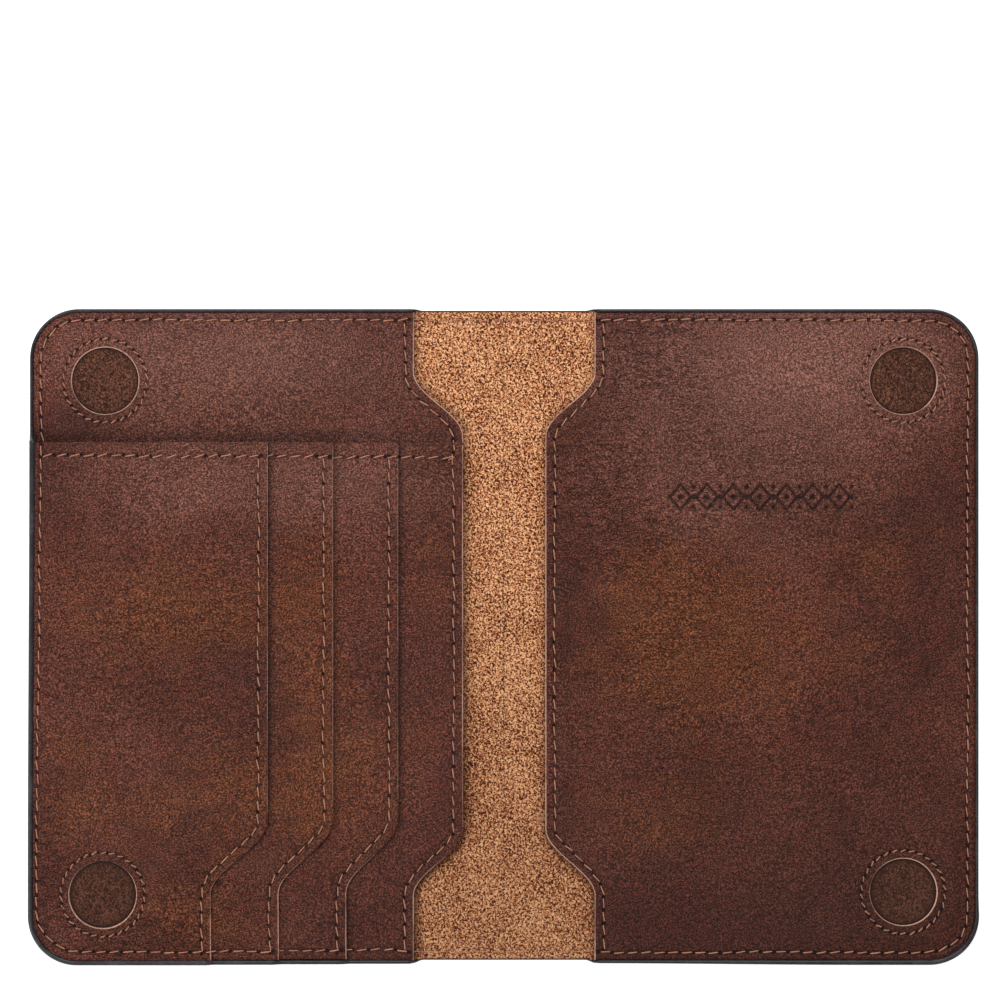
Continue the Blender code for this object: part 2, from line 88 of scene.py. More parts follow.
# ---- Shared mathematics ---------------------------------------------------------------------------
def smooth(value: Array) -> Array:
    """S-curve from 0 to 1: three times the square less twice the cube of the clipped value."""
    value = np.clip(value, 0.0, 1.0)
    return value * value * (3 - 2 * value)


def bell(distance: Array, width: float) -> Array:
    """Bell curve of a distance: one at zero, falling with the square of distance over width."""
    return np.exp(-((distance / width) ** 2))


def unit(vectors: Array) -> Array:
    """Each vector divided by its length."""
    return vectors / np.hypot(*vectors.T)[:, None]


def left_of(vectors: Array) -> Array:
    """Each vector turned a quarter to its left."""
    return np.column_stack([-vectors[:, 1], vectors[:, 0]])


def travelled(points: Array) -> Array:
    """Distance along a chain of points: the running sum of the lengths of its pieces."""
    return np.concatenate([[0.0], np.cumsum(np.hypot(*np.diff(points, axis=0).T))])


def apart(spots: Array, others: Array) -> Array:
    """Distance of every spot from every other point, one row for each spot."""
    return np.hypot(*(spots[:, None] - others[None]).transpose(2, 0, 1))


def circle(count: int) -> Array:
    """Angles of evenly spaced points round a circle."""
    return np.linspace(0.0, 2 * math.pi, count, endpoint=False)


def in_mm(origin: float, *steps: tuple[float, float]) -> list[tuple[float, float]]:
    """Stretches for a ladder, each as millimetres from an origin and a spacing in millimetres."""
    return [(origin + reach * MM, spacing * MM) for reach, spacing in steps]


def ladder(start: float, steps: list[tuple[float, float]]) -> Array:
    """Grid lines from a start through stretches of even spacing.

    Args:
        start: First grid line.
        steps: End of each stretch and the spacing wanted within it.

    Returns:
        The grid lines in rising order.
    """
    lines = [np.array([start])]
    for end, spacing in steps:
        count = max(1, math.ceil((end - lines[-1][-1]) / spacing - 1e-6))
        lines.append(np.linspace(lines[-1][-1], end, count + 1)[1:])
    return np.concatenate(lines)


def perimeter(index: Array) -> Array:
    """Point numbers round the border of a block of a grid, anticlockwise."""
    return np.concatenate([index[0, :-1], index[:-1, -1], index[-1, :0:-1], index[:0:-1, 0]])


def strips(index: Array, closed: bool = False) -> Array:
    """Four-sided faces between neighbouring rows and columns of a grid of point numbers.

    Args:
        index: Point numbers by row and column.
        closed: Whether the last column joins the first.

    Returns:
        One row of four point numbers for each face.
    """
    after = np.roll(index, -1, axis=1)
    here = index if closed else index[:, :-1]
    there = after if closed else after[:, :-1]
    return np.stack([here[:-1], there[:-1], there[1:], here[1:]], axis=-1).reshape(-1, 4)


class Half(Enum):
    """The two halves of the open holder; the value is the sign of their x."""

    LEFT = -1
    RIGHT = 1

    @property
    def body(self) -> str:
        """CAD body that the half moves with."""
        return f"{self.word}_half"

    @property
    def word(self) -> str:
        """The half's word in the names of its pieces."""
        return self.name.lower()


# ---- Lines on the leather -------------------------------------------------------------------------
@dataclass(frozen=True)
class Line:
    """An evenly sampled line over the open holder; a closed one ends on its first point."""

    points: Array
    closed: bool = False

    @staticmethod
    def through(corners: Array, step: float = SAMPLE, closed: bool = False) -> "Line":
        """Samples a chain of straight pieces evenly.

        Args:
            corners: Points of the chain.
            step: Spacing wanted along it.
            closed: Whether the line is a ring.

        Returns:
            The line.
        """
        runs = travelled(corners)
        stations = np.linspace(0.0, runs[-1], max(2, round(runs[-1] / step) + 1))
        points = np.column_stack([np.interp(stations, runs, corners[:, axis]) for axis in (0, 1)])
        return Line(points, closed)

    @property
    def runs(self) -> Array:
        """Distance travelled at each point."""
        return travelled(self.points)

    @property
    def headings(self) -> Array:
        """Direction of the line at each point."""
        return unit(np.gradient(self.points, axis=0))

    @property
    def length(self) -> float:
        """Whole length of the line."""
        return float(self.runs[-1])

    def at(self, run: Array) -> Array:
        """Points at distances along the line, by straight interpolation."""
        return np.stack([np.interp(run, self.runs, self.points[:, axis]) for axis in (0, 1)], axis=-1)

    def wandering(self, seed: int, reach: float = 0.13 * MM) -> "Line":
        """The line as a hand guides it: moved sideways by a sum of slow waves that fades at its ends."""
        draw = np.random.default_rng(seed)
        runs = self.runs
        lengths = (11 * MM, 19 * MM, 37 * MM, 64 * MM)
        waves = [np.sin(2 * math.pi * runs / length + draw.uniform(0.0, 6.0)) for length in lengths]
        ends = smooth(np.minimum(runs, runs[-1] - runs) / (6 * MM))
        return self.shifted(reach * sum(waves) / 2 * ends)

    def shifted(self, distance: Array | float) -> "Line":
        """The line moved to its right, square to its own direction, by one distance or one for each point."""
        distances = np.broadcast_to(distance, len(self.points))
        moved = self.points - left_of(self.headings) * distances[:, None]
        return Line.through(moved, closed=self.closed)

    def nearest(self, spots: Array, reach: float) -> tuple[Array, Array]:
        """Distance and travel of the line's point nearest to each spot.

        A coarse pass keeps the spots within reach, and each of those is then measured square to the
        line's direction at its nearest sample.

        Args:
            spots: Points to measure from.
            reach: Distance past which a spot isn't measured.

        Returns:
            The distances, which are the reach where a spot lies further off, and the travelled lengths.
        """
        gaps = np.full(len(spots), reach)
        travel = np.zeros(len(spots))
        runs, headings = self.runs, self.headings
        slack = reach + 10 * SAMPLE
        for first in range(0, len(spots), BLOCK):
            block = spots[first : first + BLOCK]
            near = apart(block, self.points[::10]).min(axis=1) < slack
            if not near.any():
                continue
            chosen = block[near]
            best = apart(chosen, self.points).argmin(axis=1)
            along = headings[best]
            beyond = ((chosen - self.points[best]) * along).sum(axis=1)
            beyond = np.clip(beyond, -SAMPLE, SAMPLE)
            foot = self.points[best] + along * beyond[:, None]
            place = first + np.flatnonzero(near)
            gaps[place] = np.minimum(np.hypot(*(chosen - foot).T), reach)
            travel[place] = runs[best] + beyond
        return gaps, travel


@dataclass(frozen=True)
class Outline:
    """Rounded rectangle of the open holder, whose edge draws in a little beside the spine."""

    half_width: float
    half_height: float
    radius: float = 11.0 * MM
    spine_reach: float = 20.0 * MM
    upper_dip: float = 0.33 * MM
    lower_dip: float = 0.6 * MM
    dip_run: float = 2.0 * MM

    def edge_distance(self, x: Array, y: Array) -> Array:
        """Distance in from the outline: the smaller gap, or in a corner the radius less the reach."""
        gap_x = self.half_width - np.abs(x)
        gap_y = self.half_height - np.abs(y)
        reach = np.hypot(np.maximum(self.radius - gap_x, 0.0), np.maximum(self.radius - gap_y, 0.0))
        in_corner = (gap_x < self.radius) & (gap_y < self.radius)
        return np.where(in_corner, self.radius - reach, np.minimum(gap_x, gap_y))

    def outer_x(self, y: Array, inset: float) -> Array:
        """x of the outline moved in: the corner's centre plus the arc's reach at that height."""
        radius = self.radius - inset
        over = np.clip(np.abs(y) - (self.half_height - self.radius), 0.0, radius)
        return self.half_width - self.radius + np.sqrt(radius**2 - over**2)

    def dip(self, x: Array, y: Array) -> Array:
        """How far the outline draws in at a point: a smooth step beside the spine."""
        share = 1 - smooth((np.abs(x) - self.spine_reach + self.dip_run) / self.dip_run)
        return np.where(y > 0, self.upper_dip, self.lower_dip) * share

    def path(self, inset: float) -> Line:
        """Line round the right half from the spine's lower end: straights joined by quarter turns."""
        radius = self.radius - inset
        turn = np.linspace(0.0, math.pi / 2, 49)
        centre_x = self.half_width - self.radius
        centre_y = self.half_height - self.radius
        lower = np.column_stack([centre_x + radius * np.sin(turn), -centre_y - radius * np.cos(turn)])
        upper = np.column_stack([centre_x + radius * np.cos(turn), centre_y + radius * np.sin(turn)])
        ends = self.half_height - inset
        return Line.through(np.concatenate([[[0.0, -ends]], lower, upper, [[0.0, ends]]]))


@dataclass(frozen=True)
class Mouth:
    """Free edge of a sheet: straight beside the spine, stepping aside to its foot at the ends."""

    edge: float
    foot: float
    half_height: float
    upper: tuple[float, float] | None
    lower: tuple[float, float]

    def x(self, y: Array) -> Array:
        """x of the free edge: a cosine step out to the foot near each end."""
        start, end = self.lower
        share = self.swing((start - self.half_height - y) / (start - end))
        if self.upper:
            start, end = self.upper
            share = share + self.swing((start - self.half_height + y) / (start - end))
        return self.edge + (self.foot - self.edge) * share

    @staticmethod
    def swing(value: Array) -> Array:
        """Half a cosine wave from 0 to 1."""
        return (1 - np.cos(math.pi * np.clip(value, 0.0, 1.0))) / 2

    def line(self, bottom: float, top: float) -> Line:
        """The free edge between two heights."""
        heights = np.linspace(bottom, top, max(3, round((top - bottom) / (0.1 * MM))))
        return Line.through(np.column_stack([self.x(heights), heights]))


@dataclass(frozen=True)
class StitchRow:
    """A row of stitches along a line on the right-hand side."""

    name: str
    line: Line
    pitch: float = 3.0 * MM
    slant: float = 0.12
    width: float = 0.29 * MM

    @property
    def count(self) -> int:
        """Number of stitches that fit."""
        return max(1, round(self.line.length / self.pitch))

    @property
    def step(self) -> float:
        """Length that one stitch and its needle hole take."""
        return self.line.length / self.count


# ---- Meshes ---------------------------------------------------------------------------------------
def placed(name: str, data: bpy.types.ID) -> bpy.types.Object:
    """Puts an object made of some data into the scene, at the origin."""
    made = bpy.data.objects.new(name, data)
    bpy.context.scene.collection.objects.link(made)
    return made


@dataclass
class Plate:
    """Arrays of one closed mesh before it becomes an object."""

    name: str
    points: Array
    faces: list[Array]
    slots: list[int] = field(default_factory=list)
    values: dict[str, Array] = field(default_factory=dict)
    turns: Array | None = None

    def signed_volume(self) -> float:
        """Volume from a fan of triangles on each face; negative where the faces point inwards."""
        total = 0.0
        for group in self.faces:
            corner = self.points[group]
            for second in range(1, group.shape[1] - 1):
                cross = np.cross(corner[:, second], corner[:, second + 1])
                total += float((corner[:, 0] * cross).sum())
        return total / 6

    def build(self, half: Half, materials: list[bpy.types.Material]) -> bpy.types.Object:
        """Mirrors the plate onto its half, turns its faces out and makes the object.

        Args:
            half: Half of the holder that the plate lies on.
            materials: Finishes in the order that the slots count.

        Returns:
            The object, at the origin and smooth shaded.
        """
        self.points = self.points * (half.value, 1.0, 1.0)
        if self.signed_volume() < 0:
            self.faces = [group[:, ::-1] for group in self.faces]
        mesh = bpy.data.meshes.new(self.name)
        faces = [face for group in self.faces for face in group.tolist()]
        mesh.from_pydata(self.points.tolist(), [], faces)
        for material in materials:
            mesh.materials.append(material)
        slots = self.slots or [0] * len(self.faces)
        per_face = np.concatenate([np.full(len(group), slot) for group, slot in zip(self.faces, slots)])
        mesh.polygons.foreach_set("material_index", per_face.astype(np.int32))
        mesh.polygons.foreach_set("use_smooth", np.ones(len(per_face), bool))
        for name, value in self.values.items():
            layer = mesh.attributes.new(name, "FLOAT", "POINT")
            layer.data.foreach_set("value", np.ascontiguousarray(value, np.float32))
        if self.turns is not None:
            self.lay_out(mesh)
        mesh.update()
        return placed(self.name, mesh)

    def lay_out(self, mesh: bpy.types.Mesh) -> None:
        """Gives the mesh a UV map from the two values kept for each point."""
        corners = np.empty(len(mesh.loops), np.int32)
        mesh.loops.foreach_get("vertex_index", corners)
        layer = mesh.uv_layers.new(name="turns")
        layer.data.foreach_set("uv", self.turns[corners].astype(np.float32).ravel())


class Layer:
    """One layer of four-sided cells over a sheet, into which round windows are let."""

    def __init__(self, x: Array, y: Array) -> None:
        """Starts from grid points.

        Args:
            x: x of each point by row and column.
            y: y of each point by row and column.
        """
        self.index = np.arange(x.size).reshape(x.shape)
        self.points = np.column_stack([x.ravel(), y.ravel()])
        self.kept = np.ones((x.shape[0] - 1, x.shape[1] - 1), bool)
        self.added: list[Array] = []
        self.borders = [perimeter(self.index)]

    def let_in(self, centre: Array, radius: float, reach: float, offsets: Array) -> None:
        """Opens a round window.

        A block of cells round it gives way to rings of points, each the window's circle grown by an
        offset, and the outermost ring is the border of the block.

        Args:
            centre: Middle of the window.
            radius: Radius of the window.
            reach: Least distance from the centre to each side of the block.
            offsets: Growth of each ring beyond the window's edge, from zero.
        """
        shape = self.index.shape
        row = np.argmin(np.abs(self.points[self.index[:, 0], 1] - centre[1]))
        across = self.points[self.index[row], 0]
        upward = self.points[self.index[:, shape[1] // 2], 1]
        first = np.searchsorted(across, centre[0] - reach) - 1
        last = np.searchsorted(across, centre[0] + reach)
        bottom = np.searchsorted(upward, centre[1] - reach) - 1
        top = np.searchsorted(upward, centre[1] + reach)
        loop = perimeter(self.index[bottom : top + 1, first : last + 1])
        self.kept[bottom:top, first:last] = False
        spokes = unit(self.points[loop] - centre)
        rings = centre + spokes[None] * (radius + offsets)[:, None, None]
        numbers = len(self.points) + np.arange(rings.shape[0] * rings.shape[1]).reshape(rings.shape[:2])
        self.points = np.concatenate([self.points, rings.reshape(-1, 2)])
        self.added.append(strips(np.vstack([numbers, loop]), closed=True)[:, ::-1])
        self.borders.append(numbers[0][::-1])

    def finish(self) -> tuple[Array, Array, list[Array]]:
        """Drops the points that no cell uses.

        Returns:
            The points, the cells and the border loops.
        """
        cells = strips(self.index)[self.kept.ravel()]
        faces = np.concatenate([cells, *self.added])
        used = np.unique(faces)
        fresh = np.full(len(self.points), -1)
        fresh[used] = np.arange(len(used))
        return self.points[used], fresh[faces], [fresh[border] for border in self.borders]


def shell(faces: Array, borders: list[Array], count: int) -> list[Array]:
    """Faces of a closed shell from one layer: the layer, its copy turned over, and the walls.

    Args:
        faces: Cells of the layer.
        borders: Loops round its outline and windows.
        count: Number of points in one layer.

    Returns:
        The face, the underside and the walls.
    """
    walls = [
        np.column_stack([border, border + count, np.roll(border, -1) + count, np.roll(border, -1)])
        for border in borders
    ]
    return [faces, faces[:, ::-1] + count, np.concatenate(walls)]


# ---- Shader graphs --------------------------------------------------------------------------------
def tint(red: int, green: int, blue: int) -> tuple[float, float, float, float]:
    """An 8-bit screen colour as the linear RGBA that a shader takes."""
    linear = [((value / 255 + 0.055) / 1.055) ** 2.4 for value in (red, green, blue)]
    return (linear[0], linear[1], linear[2], 1.0)


class Graph:
    """Short ways to add and join the nodes of one tree."""

    def __init__(self, tree: bpy.types.NodeTree) -> None:
        """Works on a tree."""
        self.tree = tree

    def node(self, kind: str, inputs: dict | None = None, **settings) -> bpy.types.Node:
        """Adds a node.

        Args:
            kind: Type name of the node, without its leading ShaderNode.
            inputs: Sockets or constants by input name or number.
            settings: Properties of the node.

        Returns:
            The node.
        """
        made = self.tree.nodes.new(f"ShaderNode{kind}")
        for name, value in settings.items():
            setattr(made, name, value)
        for name, value in (inputs or {}).items():
            self.feed(made.inputs[name], value)
        return made

    def feed(self, socket: Socket, value: object) -> None:
        """Links a socket into an input, or sets the input to a constant."""
        if isinstance(value, bpy.types.NodeSocket):
            self.tree.links.new(value, socket)
        else:
            socket.default_value = value

    def math(self, operation: str, *values: object) -> Socket:
        """Output of a Math node."""
        return self.node("Math", dict(enumerate(values)), operation=operation).outputs[0]

    def times(self, first: Socket, second: object) -> Socket:
        """Product of two values."""
        return self.math("MULTIPLY", first, second)

    def plus(self, first: Socket, second: object, share: float = 1.0) -> Socket:
        """Sum of a value and a share of another."""
        return self.math("ADD", first, second if share == 1.0 else self.times(second, share))

    def minus(self, first: Socket, second: object, share: float = 1.0) -> Socket:
        """A value less a share of another."""
        return self.math("SUBTRACT", first, second if share == 1.0 else self.times(second, share))

    def stain(self, tone: Socket, colour: tuple, mask: Socket, strength: float) -> Socket:
        """The tone mixed towards a colour by a mask times a strength."""
        return self.mix(self.times(mask, strength), tone, colour)

    def rise(self, value: Socket, low: float, high: float, start: float = 0.0, end: float = 1.0) -> Socket:
        """Maps a value smoothly from the range low to high onto start to end."""
        inputs = {"Value": value, "From Min": low, "From Max": high, "To Min": start, "To Max": end}
        return self.node("MapRange", inputs, interpolation_type="SMOOTHSTEP").outputs[0]

    def mix(self, share: object, first: object, second: object, how: str = "MIX") -> Socket:
        """Colour between two colours."""
        return self.node("Mix", {0: share, 6: first, 7: second}, data_type="RGBA", blend_type=how).outputs[2]

    def noise(self, where: Socket, scale: object, detail: float = 2.0, rough: float = 0.5,
              twist: float = 0.0) -> Socket:
        """Value of a noise texture."""
        inputs = {"Vector": where, "Scale": scale, "Detail": detail, "Roughness": rough, "Distortion": twist}
        return self.node("TexNoise", inputs).outputs[0]

    def stretched(self, where: Socket, factors: tuple[float, float, float], turn: float = 0.0) -> Socket:
        """Coordinates turned about Z and scaled by a factor on each axis."""
        inputs = {"Vector": where, "Scale": factors, "Rotation": (0.0, 0.0, turn)}
        return self.node("Mapping", inputs).outputs[0]

    def layer(self, name: str) -> Socket:
        """Value of a mesh attribute."""
        return self.node("Attribute", attribute_name=name).outputs["Fac"]

    def place(self) -> Socket:
        """Coordinates of the piece itself."""
        return self.node("TexCoord").outputs["Object"]

    def group(self, effect: "Effect", **inputs: object) -> bpy.types.Node:
        """Places a shared effect and feeds its inputs, named by their sockets in small letters."""
        named = {name.title(): value for name, value in inputs.items()}
        return self.node("Group", named, node_tree=effect.tree())

    def needle_holes(self) -> bpy.types.NodeOutputs:
        """The needle holes of the piece's own stitches."""
        return self.group(NEEDLE_HOLES, gap=self.layer("stitch_gap"), wave=self.layer("stitch_wave")).outputs


@dataclass(frozen=True)
class Effect:
    """A shader effect that several finishes share, as a node group made once."""

    name: str
    inputs: dict[str, str]
    outputs: dict[str, str]
    fill: Callable[[Graph, bpy.types.NodeOutputs], dict[str, Socket]]

    def tree(self) -> bpy.types.NodeTree:
        """The effect's node group."""
        made = bpy.data.node_groups.get(self.name)
        if made:
            return made
        made = bpy.data.node_groups.new(self.name, "ShaderNodeTree")
        for way, sockets in (("INPUT", self.inputs), ("OUTPUT", self.outputs)):
            for name, kind in sockets.items():
                made.interface.new_socket(name, in_out=way, socket_type=f"NodeSocket{kind}")
        graph = Graph(made)
        results = self.fill(graph, made.nodes.new("NodeGroupInput").outputs)
        leaving = made.nodes.new("NodeGroupOutput")
        for name, socket in results.items():
            graph.feed(leaving.inputs[name], socket)
        return made


def fill_grain(graph: Graph, given: bpy.types.NodeOutputs) -> dict[str, Socket]:
    """Pebbled hide: rounded cells, pulled out along a direction that drifts, with pores between them."""
    where, scale = given["Vector"], given["Scale"]
    warp = graph.node("TexNoise", {"Vector": where, "Scale": 55.0, "Detail": 1.0}).outputs["Color"]
    shift = graph.node("VectorMath", {0: warp, "Scale": 0.012}, operation="SCALE").outputs[0]
    bent = graph.node("VectorMath", {0: where, 1: shift}, operation="ADD").outputs[0]
    cells = graph.node("TexVoronoi", {"Vector": bent, "Scale": scale}, feature="F1").outputs[0]
    lines = graph.noise(graph.stretched(bent, (0.75, 1.5, 1.0), 0.5), graph.times(scale, 1.15), 2.0, 0.6)
    small = graph.noise(bent, graph.times(scale, 2.1), 2.0, 0.6)
    pebble = graph.times(graph.rise(cells, 0.1, 0.75, 1.0, 0.0), 0.45)
    height = graph.plus(graph.plus(pebble, lines, 0.9), small, 0.45)
    return {"Height": height, "Crevice": graph.rise(height, 0.62, 1.08, 1.0, 0.0)}


def fill_creases(graph: Graph, given: bpy.types.NodeOutputs) -> dict[str, Socket]:
    """Soft wrinkles: the thin ridge where stretched, twisted noise crosses its middle value."""
    flow = graph.stretched(given["Vector"], (1.0, 3.0, 1.0), 0.35)
    fold = graph.math("ABSOLUTE", graph.minus(graph.noise(flow, 260.0, 2.0, 0.55, 0.8), 0.5))
    line = graph.rise(fold, 0.0, 0.045, 1.0, 0.0)
    patch = graph.rise(graph.noise(given["Vector"], 36.0, 2.0), 0.32, 0.56)
    return {"Depth": graph.times(graph.times(line, patch), given["Amount"])}


def fill_pull_up(graph: Graph, given: bpy.types.NodeOutputs) -> dict[str, Socket]:
    """Oiled, pulled-up hide: tones drifting between deep, middle, warm and pale, which the panels' paling
    values make painted sheen, under fine flecks with painted glints.
    """
    where = given["Vector"]
    cloud = graph.noise(where, 26.0, 4.0, 0.6, 0.4)
    streak = graph.noise(graph.stretched(where, (1.0, 1.7, 1.0), 0.5), 85.0, 4.0, 0.65, 0.3)
    tone = graph.mix(graph.rise(cloud, 0.3, 0.7), given["Deep"], given["Middle"])
    drift = graph.plus(given["Warmth"], graph.minus(streak, 0.5), 1.5)
    tone = graph.mix(graph.rise(drift, 0.05, 0.95), tone, given["Warm"])
    rusty = graph.rise(graph.noise(where, 190.0, 3.0, 0.6, 0.5), 0.5, 0.74, 0.0, 0.4)
    tone = graph.mix(rusty, tone, given["Rusty"])
    paling = graph.plus(given["Paling"], graph.minus(cloud, 0.5), 0.5)
    tone = graph.mix(graph.rise(paling, 0.1, 1.1), tone, given["Pale"])
    fleck = graph.noise(where, 2900.0, 2.0, 0.7)
    # The flecks' light peaks are tinted beige as painted glints, their low points reddish.
    ranges = enumerate(((0.32, 2.02), (0.2, 2.3), (0.1, 2.45)))
    channels = {channel: graph.rise(fleck, 0.36, 0.64, low, high) for channel, (low, high) in ranges}
    fleck_and_glint_colour = graph.node("CombineColor", channels).outputs[0]
    fleck_share = graph.rise(given["Paling"], 0.2, 0.9, 1.0, 0.6)
    return {"Colour": graph.mix(fleck_share, tone, fleck_and_glint_colour, "MULTIPLY")}


def fill_needle_holes(graph: Graph, given: bpy.types.NodeOutputs) -> dict[str, Socket]:
    """Needle holes: a mask where the row's wave peaks and the row is near, which the finishes darken as
    painted shade in the holes, with a pressed channel.
    """
    across = graph.rise(given["Gap"], 0.00016, 0.0004, 1.0, 0.0)
    along = graph.rise(given["Wave"], 0.52, 0.88)
    channel = graph.rise(given["Gap"], 0.0002, 0.0009, 1.0, 0.0)
    return {"Hole": graph.times(across, along), "Channel": channel}


def fill_raw_edge(graph: Graph, given: bpy.types.NodeOutputs) -> dict[str, Socket]:
    """Raw-cut edge: a thin line beside the cut, worn off in places."""
    reach = graph.plus(given["Distance"], graph.noise(given["Vector"], 900.0, 2.0), 0.00016)
    line = graph.rise(reach, 0.0002, 0.00034, 1.0, 0.0)
    worn = graph.rise(graph.noise(given["Vector"], 60.0, 3.0, 0.6), 0.34, 0.48, 0.35, 1.0)
    return {"Mask": graph.times(line, worn)}


def fill_nap(graph: Graph, given: bpy.types.NodeOutputs) -> dict[str, Socket]:
    """Brushed nap: short tangled fibres as twisted noise, with pits of shade between them."""
    where, scale = given["Vector"], given["Scale"]
    tangle = graph.noise(graph.stretched(where, (1.0, 0.75, 1.0), 0.6), scale, 2.0, 0.6, 0.9)
    crossing = graph.stretched(where, (0.7, 1.0, 1.0), 0.3)
    second = graph.noise(crossing, graph.times(scale, 1.35), 2.0, 0.6, 0.6)
    cloud = graph.noise(where, 60.0, 4.0, 0.6)
    level = graph.plus(graph.times(tangle, 0.6), second, 0.4)
    level = graph.plus(level, graph.minus(cloud, 0.5), 0.1)
    return {"Fibre": graph.rise(level, 0.42, 0.595), "Height": level}


VALUE, COLOUR, VECTOR = "Float", "Color", "Vector"
GRAIN = Effect("pebbled_grain", {"Vector": VECTOR, "Scale": VALUE}, {"Height": VALUE, "Crevice": VALUE},
               fill_grain)
CREASES = Effect("soft_creases", {"Vector": VECTOR, "Amount": VALUE}, {"Depth": VALUE}, fill_creases)
PULL_UP = Effect("pull_up_tones", {"Vector": VECTOR, "Warmth": VALUE, "Paling": VALUE}
                 | dict.fromkeys(("Deep", "Middle", "Warm", "Rusty", "Pale"), COLOUR),
                 {"Colour": COLOUR}, fill_pull_up)
NEEDLE_HOLES = Effect("needle_holes", {"Gap": VALUE, "Wave": VALUE}, {"Hole": VALUE, "Channel": VALUE},
                      fill_needle_holes)
RAW_EDGE = Effect("raw_cut_edge", {"Vector": VECTOR, "Distance": VALUE}, {"Mask": VALUE}, fill_raw_edge)
NAP = Effect("brushed_nap", {"Vector": VECTOR, "Scale": VALUE}, {"Fibre": VALUE, "Height": VALUE}, fill_nap)


class Finish:
    """Base of the finishes: a material with one Principled shader, whose looks each finish gives."""

    name = "finish"
    relief = 0.0001
    steady: dict[str, float] = {}

    def looks(self, graph: Graph) -> tuple[Socket, Socket, Socket]:
        """Colour, roughness and height over the surface."""
        raise NotImplementedError

    def build(self) -> bpy.types.Material:
        """Makes the material: constants on the shader, then its looks, the height through a Bump node."""
        material = bpy.data.materials.new(self.name)
        material.use_nodes = True
        graph = Graph(material.node_tree)
        shader = material.node_tree.nodes["Principled BSDF"]
        for name, value in self.steady.items():
            shader.inputs[name].default_value = value
        colour, roughness, height = self.looks(graph)
        bump = graph.node("Bump", {"Height": height, "Distance": self.relief, "Strength": 1.0}).outputs[0]
        for name, socket in (("Base Color", colour), ("Roughness", roughness), ("Normal", bump)):
            graph.feed(shader.inputs[name], socket)
        return material


@dataclass(frozen=True)
class GrainLeather(Finish):
    """Smooth aniline hide with a fine grain, pull-up tones, raw-cut edges and needle holes, with painted
    sheen and painted shade.
    """

    name: str = "panel_leather"
    deep: tuple = tint(88, 43, 33)
    middle: tuple = tint(114, 60, 46)
    warm: tuple = tint(124, 67, 39)
    rusty: tuple = tint(120, 52, 40)
    # pale: painted sheen on the panels, rubbed wear on the cover's spine.
    pale: tuple = tint(152, 98, 84)
    raw: tuple = tint(214, 170, 148)
    # hole: the dark of the painted shade in needle holes, grain crevices, creases and the shade values.
    hole: tuple = tint(24, 12, 9)
    grain_scale: float = 2500.0
    relief: float = 0.00013
    steady = {"Specular IOR Level": 0.18}

    def looks(self, graph: Graph) -> tuple[Socket, Socket, Socket]:
        """Tones darkened by painted shade in the pores, the shade values, the creases and the needle holes;
        duller in the pores and raw edges.
        """
        where = graph.place()
        grain = graph.group(GRAIN, vector=where, scale=self.grain_scale).outputs
        crease = graph.group(CREASES, vector=where, amount=graph.layer("creasing")).outputs[0]
        tone = graph.group(PULL_UP, vector=where, warmth=graph.layer("warmth"), paling=graph.layer("paling"),
                           deep=self.deep, middle=self.middle, warm=self.warm, rusty=self.rusty,
                           pale=self.pale).outputs[0]
        hole = graph.needle_holes()["Hole"]
        raw = graph.group(RAW_EDGE, vector=where, distance=graph.layer("cut_edge")).outputs[0]
        # Painted shade: the grain's crevices, the shade values and the creases, then the needle holes, mixed
        # towards the hole colour.
        for mask, strength in ((grain["Crevice"], 0.72), (graph.layer("shade"), 0.8), (crease, 0.3)):
            tone = graph.stain(tone, self.hole, mask, strength)
        tone = graph.stain(graph.mix(raw, tone, self.raw), self.hole, hole, 0.9)
        gloss = graph.rise(graph.noise(where, 130.0, 4.0, 0.6), 0.3, 0.7, 0.42, 0.55)
        rough = graph.plus(graph.plus(gloss, grain["Crevice"], 0.14), raw, 0.3)
        height = graph.minus(graph.minus(grain["Height"], crease, 3.6), hole, 3.0)
        return tone, rough, height


@dataclass(frozen=True)
class CutFibre(Finish):
    """Raw flesh side and cut edges of the panels: pale, dry and fibrous."""

    name: str = "raw_flesh"
    pale: tuple = tint(198, 156, 130)
    dark: tuple = tint(120, 80, 60)
    relief: float = 0.00008
    steady = {"Specular IOR Level": 0.2}

    def looks(self, graph: Graph) -> tuple[Socket, Socket, Socket]:
        """Pale and smoother on the fibres, dark between them."""
        nap = graph.group(NAP, vector=graph.place(), scale=1300.0).outputs
        colour = graph.mix(nap["Fibre"], self.dark, self.pale)
        return colour, graph.rise(nap["Fibre"], 0.0, 1.0, 0.95, 0.8), nap["Height"]


@dataclass(frozen=True)
class BrushedSuede(Finish):
    """Suede with a coarse brushed nap."""

    name: str = "cover_suede"
    pale: tuple = tint(255, 202, 148)
    middle: tuple = tint(206, 120, 76)
    dark: tuple = tint(64, 27, 12)
    # hole: the dark of the painted shade in the needle holes.
    hole: tuple = tint(60, 34, 22)
    nap_scale: float = 2500.0
    relief: float = 0.0003
    steady = {"Specular IOR Level": 0.15, "Sheen Weight": 0.15, "Sheen Roughness": 0.5}

    def looks(self, graph: Graph) -> tuple[Socket, Socket, Socket]:
        """Dark, middle and pale by the fibres, with painted shade from the shade values and painted shade in
        the needle holes.
        """
        nap = graph.group(NAP, vector=graph.place(), scale=self.nap_scale).outputs
        holes = graph.needle_holes()
        low = graph.mix(graph.rise(nap["Fibre"], 0.0, 0.55), self.dark, self.middle)
        tone = graph.mix(graph.rise(nap["Fibre"], 0.5, 1.0), low, self.pale)
        # Painted shade: the shade values, then the needle holes.
        tone = graph.stain(tone, self.dark, graph.layer("shade"), 0.75)
        tone = graph.stain(tone, self.hole, holes["Hole"], 0.75)
        height = graph.minus(nap["Height"], holes["Channel"], 0.5)
        return tone, graph.rise(nap["Fibre"], 0.0, 1.0, 1.0, 0.86), height


